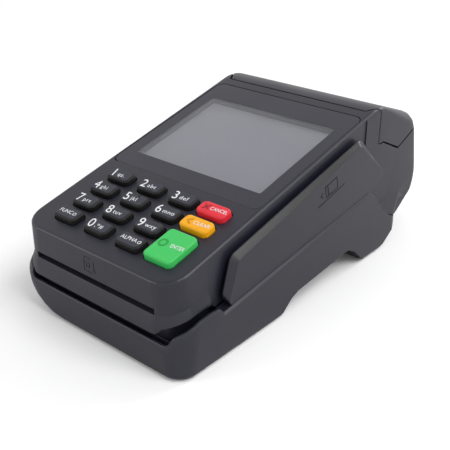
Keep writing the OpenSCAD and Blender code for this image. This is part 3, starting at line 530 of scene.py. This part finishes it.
def lettering(mesh: BMesh, words: str, cap_mm: float, place: Matrix, lean: float,
              wide: float = 1.0, spread: float = 1.0) -> float:
    """Adds words to a mesh as thin raised solids.

    Args:
        mesh: the mesh that takes them.
        words: what they say.
        cap_mm: the height of a capital letter.
        place: the frame of the words' start on their baseline.
        lean: slant of the letters, to the right where positive.
        wide: how wide the letters are drawn, where 1 is the type's own width.
        spread: how far apart the letters stand, where 1 is the type's own spacing.

    Returns:
        The words' length in millimetres.
    """
    curve = bpy.data.curves.new("lettering", "FONT")
    curve.body = words
    curve.size = cap_mm * MM / CAP_SHARE
    curve.shear = lean
    curve.extrude = INK_MM * MM / 2
    curve.resolution_u = LETTER_STEPS
    curve.space_character = spread
    first = len(mesh.verts)
    pour(mesh, curve, place @ moved(0, 0, INK_MM / 2) @ Matrix.Diagonal((wide, 1, 1, 1)))
    mesh.verts.ensure_lookup_table()
    along = place.to_3x3() @ Vector((1, 0, 0))
    reach = [v.co.dot(along) for v in mesh.verts[first:]]
    return (max(reach) - min(reach)) / MM


def plate(mesh: BMesh, outlines: Iterable[Sequence[Point]], depth_mm: float,
          edge_mm: float, place: Matrix) -> None:
    """Adds a flat plate with rounded edges, whose inner outlines are holes.

    Args:
        mesh: the mesh that takes it.
        outlines: closed lines of points in millimetres.
        depth_mm: its thickness.
        edge_mm: the radius of its edges.
        place: the frame of its lower face.
    """
    curve = bpy.data.curves.new("plate", "CURVE")
    curve.dimensions = "2D"
    curve.fill_mode = "BOTH"
    curve.extrude = (depth_mm / 2 - edge_mm) * MM
    curve.bevel_depth = edge_mm * MM
    curve.bevel_resolution = EDGE_STEPS
    curve.offset = -edge_mm * MM
    for outline in outlines:
        spline = curve.splines.new("POLY")
        spline.points.add(len(outline) - 1)
        for point, (x, y) in zip(spline.points, outline):
            point.co = (x * MM, y * MM, 0, 1)
        spline.use_cyclic_u = True
    pour(mesh, curve, place @ moved(0, 0, depth_mm / 2))


def skin(mesh: BMesh, rows: Sequence[Sequence[bmesh.types.BMVert]], closed: bool = False) -> None:
    """Joins rings of points, one after another, to a solid.

    Args:
        mesh: the mesh that holds the points.
        rows: the rings, with as many points in each.
        closed: whether the last ring joins the first, where otherwise both ends are capped.
    """
    count = len(rows[0])
    for a, b in zip(rows, [*rows[1:], rows[0]] if closed else rows[1:]):
        for k in range(count):
            mesh.faces.new((a[k], a[(k + 1) % count], b[(k + 1) % count], b[k]))
    if not closed:
        mesh.faces.new(rows[0])
        mesh.faces.new(rows[-1])


def band(mesh: BMesh, points: Sequence[Point], width_mm: float, depth_mm: float,
         place: Matrix, closed: bool = False) -> None:
    """Adds a flat raised band along a line of points.

    Args:
        mesh: the mesh that takes it.
        points: its middle line in millimetres, in the plane of its place.
        width_mm: its width.
        depth_mm: how far it stands out.
        place: the frame of the plane it lies on.
        closed: whether its end joins its start.
    """
    line = [Vector(p) for p in points]
    count = len(line)
    rows = []
    for i, point in enumerate(line):
        before = point - line[i - 1] if closed or i else line[1] - point
        after = line[(i + 1) % count] - point if closed or i < count - 1 else point - line[i - 1]
        before, after = before.normalized(), after.normalized()
        mitre = Vector((-before.y, before.x)) + Vector((-after.y, after.x))
        side = mitre * (width_mm / max(MITRE_LIMIT, mitre.length_squared))
        rows.append([mesh.verts.new(place @ Vector((q.x * MM, q.y * MM, z * MM)))
                     for q, z in ((point + side, 0), (point - side, 0), (point - side, depth_mm),
                                  (point + side, depth_mm))])
    skin(mesh, rows, closed)


def ring(radius_mm: float, count: int) -> list[Point]:
    """Returns the points of a circle in millimetres."""
    return [(radius_mm * math.cos(2 * math.pi * i / count), radius_mm * math.sin(2 * math.pi * i / count))
            for i in range(count)]


def dome(mesh: BMesh, radius_mm: float, height_mm: float, place: Matrix, steps: int = 4,
         sides: int = 20) -> None:
    """Adds a low dome with a closed foot.

    Args:
        mesh: the mesh that takes it.
        radius_mm: its radius at the foot.
        height_mm: its height.
        place: the frame of its foot.
        steps: how many rings of faces it has.
        sides: how many points a ring has.
    """
    rows = []
    for step in range(steps):
        turn = math.radians(90 * step / steps)
        rows.append([mesh.verts.new(place @ Vector((x * MM, y * MM, height_mm * math.sin(turn) * MM)))
                     for x, y in ring(radius_mm * math.cos(turn), sides)])
    top = mesh.verts.new(place @ Vector((0, 0, height_mm * MM)))
    for low, high in zip(rows, [*rows[1:], None]):
        for i in range(sides):
            a, b = low[i], low[(i + 1) % sides]
            mesh.faces.new((a, b, high[(i + 1) % sides], high[i]) if high else (a, b, top))
    mesh.faces.new(rows[0])


class Mark(Enum):
    """The sign on a key beside its word."""

    NONE = 0
    CROSS = 1
    ARROW = 2
    RING = 3
    SMALL_RING = 4


@dataclass(frozen=True)
class Key:
    """One key: its node, its place in the grid and what it says."""

    node: str
    column: int
    row: int
    digit: str = ""
    letters: str = ""
    word: str = ""
    mark: Mark = Mark.NONE
    finish: Finish = Finishes.DARK_KEY
    mark_finish: Finish = Finishes.WHITE_INK
    slot: str = "dark_key"
    rows: int = 1
    word_u: float = -1.0
    word_wide: float = 0.76

    COLOUR_COLUMN = 3

    @property
    def coloured(self) -> bool:
        """Tells whether the key stands in the column of the coloured keys."""
        return self.column == self.COLOUR_COLUMN


@dataclass
class Keypad:
    """Fifteen silicone keys on the deck, with their legends."""

    deck: Deck
    first_u: float = -21.5
    pitch_u: float = 15.65
    colour_u: float = 23.7
    first_v: float = 7.0
    pitch_v: float = 8.67
    length: float = 6.3
    top_w: float = 2.2
    digit_cap: float = 4.3
    letter_cap: float = 2.0
    word_cap: float = 1.8
    lean: float = -0.18
    turn_deg: float = 3.0
    sharp_deg: float = 15.0
    digit_at: Point = (-4.2, -1.95)
    digit_wide: float = 0.92
    letters_at: Point = (-1.0, -1.2)
    letters_spread: float = 1.12
    small_word_at: Point = (-4.2, -0.75)
    small_word_lean: float = -0.09
    small_word_wide: float = 0.94
    small_ring_at: Point = (-3.1, 0.2)
    small_ring_r: float = 0.62
    small_ring_w: float = 0.28
    small_ring_sides: int = 20
    word_v: float = -0.9
    sign_u: float = -2.9
    sign_t: float = 0.1
    cross_half: float = 1.2
    cross_w: float = 0.7
    arrow: tuple[Point, ...] = ((0.85, 1.4), (-0.85, 0.0), (0.85, -1.4))
    arrow_w: float = 0.65
    ring_r: float = 1.45
    ring_w: float = 0.75
    ring_sides: int = 28
    dot_at: Point = (0.8, 1.9)
    dot_r: float = 0.45
    dot_h: float = 0.3

    KEYS = (
        Key("key_1", 0, 3, "1", "qz."), Key("key_2", 1, 3, "2", "abc"), Key("key_3", 2, 3, "3", "def"),
        Key("key_4", 0, 2, "4", "ghi"), Key("key_5", 1, 2, "5", "jkl"), Key("key_6", 2, 2, "6", "mno"),
        Key("key_7", 0, 1, "7", "prs"), Key("key_8", 1, 1, "8", "tuv"), Key("key_9", 2, 1, "9", "wxy"),
        Key("key_func", 0, 0, word="FUNC", mark=Mark.SMALL_RING),
        Key("key_0", 1, 0, "0", ",*#"),
        Key("key_alpha", 2, 0, word="ALPHA", mark=Mark.SMALL_RING),
        Key("key_cancel", 3, 3, word="CANCEL", mark=Mark.CROSS, finish=Finishes.RED_KEY,
            mark_finish=Finishes.RED_MARK, slot="red_key"),
        Key("key_clear", 3, 2, word="CLEAR", mark=Mark.ARROW, finish=Finishes.YELLOW_KEY,
            mark_finish=Finishes.YELLOW_MARK, slot="yellow_key", word_wide=0.95),
        Key("key_enter", 3, 0, word="ENTER", mark=Mark.RING, finish=Finishes.GREEN_KEY,
            mark_finish=Finishes.GREEN_MARK, slot="green_key", rows=2, word_u=0.6),
    )

    def middle(self, key: Key) -> Point:
        """Returns the middle of a key's top on the deck, in millimetres."""
        u = self.colour_u if key.coloured else self.first_u + key.column * self.pitch_u
        return u, self.first_v + key.row * self.pitch_v + (self.length + (key.rows - 1) * self.pitch_v) / 2

    def spot(self, key: Key, du: float, dv: float) -> Matrix:
        """Returns the frame of a legend on a key, from the middle of its top."""
        u, v = self.middle(key)
        return self.deck.at(u + du, v + dv, self.top_w) @ turned(self.turn_deg, "Z")

    def build(self) -> None:
        """Makes the legends, the marks and the raised dot, and dresses the keys."""
        for key in self.KEYS:
            dress([key.node], key.finish, self.sharp_deg)
            self.legend(key)
            if key.coloured:
                self.sign(key)
        self.dot()

    def legend(self, key: Key) -> None:
        """Makes the printed legend of a key.

        Args:
            key: the key.
        """
        mesh = bmesh.new()
        if key.digit:
            lettering(mesh, key.digit, self.digit_cap, self.spot(key, *self.digit_at), self.lean,
                      wide=self.digit_wide)
            lettering(mesh, key.letters, self.letter_cap, self.spot(key, *self.letters_at), self.lean,
                      spread=self.letters_spread)
        elif key.mark is Mark.SMALL_RING:
            length = lettering(mesh, key.word, self.word_cap, self.spot(key, *self.small_word_at),
                               self.small_word_lean, wide=self.small_word_wide)
            du, dv = self.small_ring_at
            band(mesh, ring(self.small_ring_r, self.small_ring_sides), self.small_ring_w, INK_MM,
                 self.spot(key, du + length, dv), closed=True)
        else:
            lettering(mesh, key.word, self.word_cap, self.spot(key, key.word_u, self.word_v), self.lean,
                      wide=key.word_wide)
        make(f"legend_{key.node}", mesh, Finishes.WHITE_INK, key.node)

    def sign(self, key: Key) -> None:
        """Makes the moulded sign of a coloured key.

        Args:
            key: the key.
        """
        mesh = bmesh.new()
        place = self.spot(key, self.sign_u, 0.0)
        if key.mark is Mark.CROSS:
            half = self.cross_half
            for way in (-half, half):
                band(mesh, [(-way, -half), (way, half)], self.cross_w, self.sign_t, place)
        elif key.mark is Mark.ARROW:
            band(mesh, self.arrow, self.arrow_w, self.sign_t, place)
        else:
            band(mesh, ring(self.ring_r, self.ring_sides), self.ring_w, self.sign_t, place, closed=True)
        # The sign's darker colour is painted shade on the raised mark
        make(f"sign_{key.node}", mesh, key.mark_finish, key.node)

    def dot(self) -> None:
        """Makes the raised dot by which the middle key is found without looking."""
        mesh = bmesh.new()
        five = next(key for key in self.KEYS if key.digit == "5")
        dome(mesh, self.dot_r, self.dot_h, self.spot(five, *self.dot_at))
        make("dot_key_5", mesh, Finishes.DARK_KEY, five.node)


@dataclass
class Display:
    """The screen: a flush clear pane in a printed bezel, over a gasket and a display module."""

    sharp_deg: float = SHARP_DEG

    def build(self) -> None:
        """Dresses the pieces of the screen."""
        dress(["display_bezel"], Finishes.BEZEL, self.sharp_deg)
        dress(["display_window"], Finishes.WINDOW, self.sharp_deg)
        dress(["display_gasket"], Finishes.GASKET, self.sharp_deg)
        dress(["lcd_panel"], Finishes.DISPLAY, self.sharp_deg)


@dataclass
class FrontRim:
    """The rim of the lower housing round the front, cut level so that the shadow gap over it is open.

    The rim's height goes by how far a point lies behind the rim's front, as on the solid.
    """

    half_w: float = 39.7
    front_y: float = -77.45
    corner_r: float = 8.2
    climb: tuple[Point, ...] = (
        (0.0, 12.1), (0.8, 15.497), (2.6, 16.919), (5.5, 18.341), (9.6, 19.526))
    outward: float = 1.5
    rim_t: float = 0.8
    gap_t: float = 2.1
    gap_depth: float = 3.0
    tall: float = 5.0
    lift: float = 0.01
    ease_deg: float = 36.0
    left_deg: int = 20
    right_deg: int = 84
    step_deg: int = 4

    def height(self, angle_deg: float) -> float:
        """Returns the rim's height at a corner's angle, with a soft start of the climb.

        Args:
            angle_deg: the angle from straight ahead, in degrees.

        Returns:
            The height in millimetres.
        """
        behind = self.corner_r * (1 - math.cos(math.radians(angle_deg)))
        low, high = next(pair for pair in zip(self.climb, self.climb[1:]) if behind <= pair[1][0])
        height = low[1] + (high[1] - low[1]) * (behind - low[0]) / (high[0] - low[0])
        part = min(1.0, angle_deg / self.ease_deg)
        front = self.climb[0][1]
        return front + (height - front) * part * part * (3 - 2 * part)

    def profile(self) -> list[Point]:
        """Draws the cut's section: over the rim, and down behind it.

        Returns:
            Its points, as millimetres outward and up from the rim's edge.
        """
        back = -self.rim_t - self.gap_t
        return [(self.outward, self.tall), (back, self.tall), (back, -self.gap_depth),
                (-self.rim_t, -self.gap_depth), (-self.rim_t, 0), (self.outward, 0)]

    def cutter(self) -> BMesh:
        """Makes a solid that runs round the front over the rim's edge.

        Returns:
            Its mesh.
        """
        mesh = bmesh.new()
        rows = []
        for side, angles in ((-1, range(self.left_deg, -1, -self.step_deg)),
                             (1, range(0, self.right_deg + 1, self.step_deg))):
            for angle in angles:
                out = Vector((side * math.sin(math.radians(angle)), -math.cos(math.radians(angle)), 0))
                middle = Vector((side * (self.half_w - self.corner_r), self.front_y + self.corner_r, 0))
                edge = middle + out * self.corner_r
                edge.z = self.height(angle) + self.lift
                rows.append([mesh.verts.new((edge + out * reach + Vector((0, 0, rise))) * MM)
                             for reach, rise in self.profile()])
        skin(mesh, rows)
        return mesh

    def build(self) -> None:
        """Makes the lower housing with its level rim, in the place of the solid's."""
        housing = carve("lower_housing_open_rim", "lower_housing", [self.cutter()], Finishes.BASE)
        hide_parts("lower_housing")


@dataclass
class Seams:
    """The seams of the upper housing at the bezel and the printer cover, opened at the surface.

    Points of the cover's seam are in the frame of the solids, in millimetres.
    """

    deck: Deck
    width: float = 0.6
    reach: float = 0.45
    bezel_w: float = 71.0
    bezel_l: float = 65.6
    bezel_v: float = 44.6
    bezel_r: float = 3.0
    bezel_depth: float = 0.8
    bezel_reach: float = 0.2
    slit_y: float = 35.76
    slit_z: float = 60.678
    slit_depth: float = 0.9
    cover_half: float = 33.6
    deck_half: float = 37.0
    lug_y: float = 42.76
    lug_past: float = 1.0
    lug_bend: Point = (45.06, 46.5)
    lug_low: Point = (57.75, 40.5)
    lug_rise_deg: float = 22.4
    hinge: Point = (73.57, 33.6)
    arc_r: float = 12.408
    arc_end_deg: float = 70.0
    side_depth: float = 1.5
    clear: float = 3.0
    steps: int = 6

    def bezel(self) -> BMesh:
        """Makes a band behind and left of the bezel, sunk in the deck.

        Returns:
            Its mesh.
        """
        mesh = bmesh.new()
        u, v = self.bezel_w / 2 - self.bezel_r, self.bezel_l / 2 - self.bezel_r
        radius = self.bezel_r + self.bezel_reach
        line = []
        for k, (side, end) in enumerate(((1, 1), (-1, 1), (-1, -1))):
            for step in range(self.steps + 1):
                turn = math.radians(90 * (k + step / self.steps))
                line.append((side * u + radius * math.cos(turn), end * v + radius * math.sin(turn)))
        place = self.deck.at(0, self.bezel_v + self.bezel_l / 2, -self.bezel_depth)
        band(mesh, line, self.width, self.bezel_depth + self.clear, place)
        return mesh

    def slit(self) -> BMesh:
        """Makes a band along the paper slit.

        Returns:
            Its mesh.
        """
        mesh = bmesh.new()
        y = self.slit_y - self.reach
        line = [(self.deck.middle_x - self.cover_half, y), (self.deck.middle_x + self.cover_half, y)]
        place = moved(0, 0, self.slit_z - self.slit_depth)
        band(mesh, line, self.width, self.slit_depth + self.clear, place)
        return mesh

    def corner(self, side: int) -> BMesh:
        """Makes a wall from the slit's end to the front of the cover's lug.

        Args:
            side: 1 for the right, -1 for the left.

        Returns:
            Its mesh.
        """
        mesh = bmesh.new()
        middle_x = self.deck.middle_x
        line = [(middle_x + side * (self.cover_half + self.reach), self.slit_y - self.reach),
                (middle_x + side * (self.deck_half + self.lug_past), self.lug_y - self.reach)]
        low = self.lug_bend[1] - self.reach
        band(mesh, line, self.width, self.slit_z + self.clear - low, moved(0, 0, low))
        return mesh

    def lug(self, side: int) -> BMesh:
        """Makes a band under the cover's lug and along its arc about the hinge.

        Args:
            side: 1 for the right, -1 for the left.

        Returns:
            Its mesh.
        """
        mesh = bmesh.new()
        drop = self.reach / math.cos(math.radians(self.lug_rise_deg))
        line = [(self.lug_y - self.reach, self.lug_bend[1] - self.reach),
                (self.lug_bend[0], self.lug_bend[1] - self.reach),
                (self.lug_low[0], self.lug_low[1] - drop)]
        start_deg, radius = 90 + self.lug_rise_deg, self.arc_r - self.reach
        for step in range(1, self.steps + 1):
            turn = math.radians(start_deg + (self.arc_end_deg - start_deg) * step / self.steps)
            line.append((self.hinge[0] + radius * math.cos(turn), self.hinge[1] + radius * math.sin(turn)))
        depth = self.side_depth + self.clear
        inner = self.deck.middle_x + side * (self.deck_half - self.side_depth)
        place = moved(inner if side > 0 else inner - depth, 0, 0) @ turned(90, "Z") @ turned(90, "X")
        band(mesh, line, self.width, depth, place)
        return mesh

    def build(self) -> None:
        """Makes the upper housing with its open seams, in the place of the solid's."""
        knives = [self.bezel(), self.slit()]
        for side in (-1, 1):
            knives += [self.corner(side), self.lug(side)]
        housing = carve("upper_housing_open_seams", "upper_housing", knives, Finishes.HOUSING)
        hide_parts("upper_housing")


@dataclass(frozen=True)
class Stroke:
    """One line of a sign: its points and its width in millimetres, and whether it is closed."""

    points: tuple[Point, ...]
    width: float
    closed: bool = False


@dataclass
class Body:
    """The two housings, the swipe rail and what is moulded or fitted on them."""

    deck: Deck
    chip_at: Place = (-4.9, -76.55, 25.4)
    chip_depth: float = 0.12
    swipe_at: Place = (39.7, 3.6, 38.2)
    swipe_depth: float = 0.05

    CHIP = (
        Stroke(((3.4, 0), (0, 0), (0, 5.2), (3.4, 5.2)), 0.4),
        Stroke(((1.2, 1.9), (1.2, 3.5), (2.7, 3.5), (2.7, 1.9)), 0.35, closed=True),
        Stroke(((3.9, 0.5), (4.8, 1.8), (5.6, 0.5)), 0.4),
        Stroke(((4.8, 2.2), (4.8, 4.6)), 0.4),
    )
    SWIPE = (
        Stroke(((-8.6, 0), (8.6, 0)), 0.42),
        Stroke(((-3.2, 1.1), (4.2, 1.1), (4.2, 5.6), (-3.2, 5.6)), 0.42, closed=True),
        Stroke(((-1.7, 1.1), (-1.7, 5.6)), 0.55),
        Stroke(((-5.0, 2.2), (-6.3, 3.3), (-5.0, 4.4)), 0.42),
    )

    def build(self) -> None:
        """Makes the icons, the chip card's in relief and the swipe's in painted shadow, and dresses the
        housings.
        """
        dress(["upper_housing"], Finishes.HOUSING)
        dress(["lower_housing", "battery_door"], Finishes.BASE)
        # The rail's upper chamfer is coloured near black as painted reflection
        dress(["swipe_rail"], Finishes.RAIL)
        dress(["rubber_feet"], Finishes.RUBBER)
        dress(["main_board"], Finishes.BOARD)
        dress(["keypad_mat"], Finishes.RUBBER)
        dress(["chip_card_reader"], Finishes.NYLON)
        dress(["card_contacts"], Finishes.GOLD)
        dress(["stripe_head", "stripe_head_spring", "usb_socket"], Finishes.STEEL)
        dress(["battery_pack"], Finishes.SHRINK)
        self.chip_icon()
        self.swipe_icon()

    def chip_icon(self) -> None:
        """Makes the sign over the card slot: a card with its chip, and the way it goes in."""
        mesh = bmesh.new()
        for stroke in self.CHIP:
            band(mesh, stroke.points, stroke.width, self.chip_depth, moved(*self.chip_at) @ turned(90, "X"),
                 stroke.closed)
        make("icon_chip_card", mesh, Finishes.HOUSING, TERMINAL)

    def swipe_icon(self) -> None:
        """Makes the sign on the rail: a card with its stripe, and the way it is drawn."""
        mesh = bmesh.new()
        place = moved(*self.swipe_at) @ turned(90, "Z") @ turned(90, "X") @ turned(self.deck.tilt_deg, "Z")
        for stroke in self.SWIPE:
            band(mesh, stroke.points, stroke.width, self.swipe_depth, place, stroke.closed)
        # The swipe sign's lines are painted shadow, which stands in for engraved grooves
        make("icon_swipe", mesh, Finishes.RECESS_SHADOW, TERMINAL)


@dataclass
class CaseScrews:
    """Four pan-head screws with a cross recess, which hold the housings together from below."""

    places: tuple[Place, ...] = (
        (-33.9, -11.786, 7.563), (31.3, -11.786, 7.563), (-33.9, 7.214, 9.29), (31.3, 7.214, 9.29))
    head_r: float = 2.2
    head_h: float = 1.2
    head_gap: float = 0.15
    head_edge: float = 0.12
    head_sides: int = 36
    seat_edge: float = 0.05
    recess_h: float = 0.75
    recess_long: float = 1.15
    recess_half: float = 0.26
    thread_r: float = 1.2
    thread_depth: float = 0.22
    thread_sides: int = 16
    pitch: float = 0.8
    steps_per_turn: int = 5
    length: float = 10.2

    def build(self) -> None:
        """Makes the four screws in the place of the plain ones."""
        mesh = bmesh.new()
        for x, y, z in self.places:
            seat = moved(x, y, z + self.head_gap + self.head_h)
            self.head(mesh, seat @ turned(180, "X"))
            self.thread(mesh, seat)
        screws = make("case_screws_threaded", mesh, Finishes.STEEL, TERMINAL)
        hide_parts("case_screws")

    def head(self, mesh: BMesh, place: Matrix) -> None:
        """Makes a head that stands on its seat, with the cross recess in its face.

        Args:
            mesh: the mesh that takes it.
            place: the frame of its seat, with the head above.
        """
        a, b = self.recess_long, self.recess_half
        cross = [(a, -b), (a, b), (b, b), (b, a), (-b, a), (-b, b),
                 (-a, b), (-a, -b), (-b, -b), (-b, -a), (b, -a), (b, -b)]
        rim = ring(self.head_r, self.head_sides)
        floor = self.head_h - self.recess_h
        plate(mesh, [rim], floor, self.seat_edge, place)
        plate(mesh, [rim, cross], self.recess_h, self.head_edge, place @ moved(0, 0, floor))

    def thread(self, mesh: BMesh, place: Matrix) -> None:
        """Makes the shank with a thread that climbs by its pitch in each turn.

        Args:
            mesh: the mesh that takes it.
            place: the frame of the shank's lower end.
        """
        steps = round(self.length / self.pitch * self.steps_per_turn)
        rows = []
        for j in range(steps + 1):
            z = self.length * j / steps
            row = []
            for i in range(self.thread_sides):
                wave = (z / self.pitch - i / self.thread_sides) % 1
                radius = self.thread_r - self.thread_depth * abs(2 * wave - 1)
                turn = 2 * math.pi * i / self.thread_sides
                row.append(mesh.verts.new(place @ Vector((
                    radius * math.cos(turn) * MM, radius * math.sin(turn) * MM, z * MM))))
            rows.append(row)
        skin(mesh, rows)


@dataclass
class Socket:
    """The tongue of the charging socket on the left side, with its contacts."""

    mouth_x: float = -39.4
    root_x: float = -35.0
    middle_y: float = -2.286
    low_z: float = 15.9
    width: float = 6.4
    thickness: float = 0.7
    contacts: int = 5
    spacing: float = 1.1
    contact_back: float = 0.5
    contact_w: float = 0.5
    contact_t: float = 0.06

    def build(self) -> None:
        """Makes the tongue and its contacts inside the steel shell."""
        mesh = bmesh.new()
        line = [(self.mouth_x, self.middle_y), (self.root_x, self.middle_y)]
        band(mesh, line, self.width, self.thickness, moved(0, 0, self.low_z))
        make("socket_tongue", mesh, Finishes.NYLON, TERMINAL)
        mesh = bmesh.new()
        top = moved(0, 0, self.low_z + self.thickness)
        for i in range(self.contacts):
            y = self.middle_y + (i - (self.contacts - 1) / 2) * self.spacing
            line = [(self.mouth_x + self.contact_back, y), (self.root_x, y)]
            band(mesh, line, self.contact_w, self.contact_t, top)
        make("socket_contacts", mesh, Finishes.GOLD, TERMINAL)


@dataclass
class Printer:
    """The receipt printer under its hinged cover."""

    heat_at: Place = (-1.3, 36.26, 51.68)
    heat_l: float = 48.0
    heat_w: float = 0.9
    heat_t: float = 0.05

    def build(self) -> None:
        """Makes the heating line and dresses the printer's pieces."""
        mesh = bmesh.new()
        line = [(-self.heat_l / 2, 0), (self.heat_l / 2, 0)]
        band(mesh, line, self.heat_w, self.heat_t, moved(*self.heat_at) @ turned(-90, "X"))
        make("print_head_heating_line", mesh, Finishes.RESISTOR, TERMINAL)
        dress(["printer_cover"], Finishes.HOUSING)
        dress(["paper_tray"], Finishes.NYLON)
        dress(["platen_roller"], Finishes.RUBBER)
        dress(["platen_shaft", "cover_hinge_pin"], Finishes.GROUND)
        dress(["platen_bushes", "platen_gear", "idler_gear"], Finishes.ACETAL)
        dress(["motor_pinion"], Finishes.BRASS)
        dress(["printer_frame", "print_head_spring", "tear_bar", "stepper_motor"], Finishes.STEEL)
        dress(["print_head"], Finishes.CERAMIC)


@dataclass(frozen=True)
class Lamp:
    """A square soft lamp: its name, its place and side in metres, and its power in watts."""

    name: str
    place: Place
    side: float
    watts: float


@dataclass
class Studio:
    """A pale floor, soft light all round and the camera."""

    lens_mm: float = 63.118
    sensor_mm: float = 36.0
    near_mm: float = 10.0
    eye_mm: Place = (180.258, -220.277, 157.798)
    pitch_deg: float = 26.715
    yaw_deg: float = 40.568
    floor_white: str = "#fbfbfb"
    floor_bounce: str = "#cfcfcf"
    floor_rough: float = 0.9
    floor_r: float = 1.0
    floor_sides: int = 96
    wall_sine: float = 0.35
    ceiling_sine: float = 0.75
    ceiling_light: float = 0.55
    aim: Place = (0.0, 0.0, 0.03)

    LAMPS = (
        Lamp("lamp_key", (0.9, 0.1, 1.1), 0.9, 11.0),
        Lamp("lamp_rear", (0.3, 1.3, 0.9), 0.4, 6.0),
        Lamp("lamp_front", (-0.75, -0.95, 0.46), 0.35, 2.4),
    )

    def build(self) -> None:
        """Makes the floor, the lights, the world and the camera."""
        self.floor()
        self.world()
        for lamp in self.LAMPS:
            self.hang(lamp)
        self.camera()
        bpy.context.scene.view_settings.view_transform = "Standard"

    def floor(self) -> None:
        """Makes the floor, which is white to the eye, keeps the shadow and throws less light back up."""
        mesh = bmesh.new()
        bmesh.ops.create_circle(mesh, cap_ends=True, segments=self.floor_sides, radius=self.floor_r)
        floor = settle("floor", mesh)
        paper = bpy.data.materials.new("paper_matt_white")
        paper.use_nodes = True
        shader = paper.node_tree.nodes["Principled BSDF"]
        shader.inputs["Roughness"].default_value = self.floor_rough
        path = add(paper.node_tree, "ShaderNodeLightPath")
        tone = add(paper.node_tree, "ShaderNodeMix", {
            "data_type": "RGBA", MIX_LOW: linear(self.floor_bounce), MIX_HIGH: linear(self.floor_white)},
            {MIX_FACTOR: path.outputs["Is Camera Ray"]})
        paper.node_tree.links.new(tone.outputs[MIX_RESULT], shader.inputs["Base Color"])
        floor.data.materials.append(paper)

    def world(self) -> None:
        """Makes the world: a white backdrop all round, under a darker ceiling."""
        world = bpy.data.worlds.new("studio")
        bpy.context.scene.world = world
        world.use_nodes = True
        tree = world.node_tree
        tree.nodes.clear()
        way = add(tree, "ShaderNodeTexCoord").outputs["Generated"]
        rise = add(tree, "ShaderNodeSeparateXYZ", links={0: way}).outputs["Z"]
        strength = add(tree, "ShaderNodeMapRange", {
            "From Min": self.wall_sine, "From Max": self.ceiling_sine, "To Min": 1.0,
            "To Max": self.ceiling_light}, {"Value": rise})
        back = add(tree, "ShaderNodeBackground", {"Color": (1, 1, 1, 1)}, {"Strength": strength.outputs[0]})
        add(tree, "ShaderNodeOutputWorld", links={"Surface": back.outputs[0]})

    def hang(self, lamp: Lamp) -> None:
        """Hangs a lamp that points at the terminal.

        Args:
            lamp: the lamp.
        """
        light = bpy.data.lights.new(lamp.name, "AREA")
        light.size = lamp.side
        light.energy = lamp.watts
        holder = stand(lamp.name, light)
        holder.location = lamp.place
        holder.rotation_euler = (Vector(self.aim) - Vector(lamp.place)).to_track_quat("-Z", "Y").to_euler()

    def camera(self) -> None:
        """Makes the camera at the photograph's viewing angle."""
        data = bpy.data.cameras.new("camera")
        data.lens = self.lens_mm
        data.sensor_width = self.sensor_mm
        data.clip_start = self.near_mm * MM
        camera = stand("camera", data)
        camera.location = Vector(self.eye_mm) * MM
        camera.rotation_euler = (math.radians(90 - self.pitch_deg), 0, math.radians(self.yaw_deg))
        bpy.context.scene.camera = camera


def main() -> None:
    """Builds the studio and each sub-assembly in order."""
    logging.basicConfig(level=logging.INFO)
    deck = Deck()
    Studio().build()
    Body(deck).build()
    FrontRim().build()
    Seams(deck).build()
    Display().build()
    Keypad(deck).build()
    Printer().build()
    CaseScrews().build()
    Socket().build()


if __name__ == "__main__":
    main()
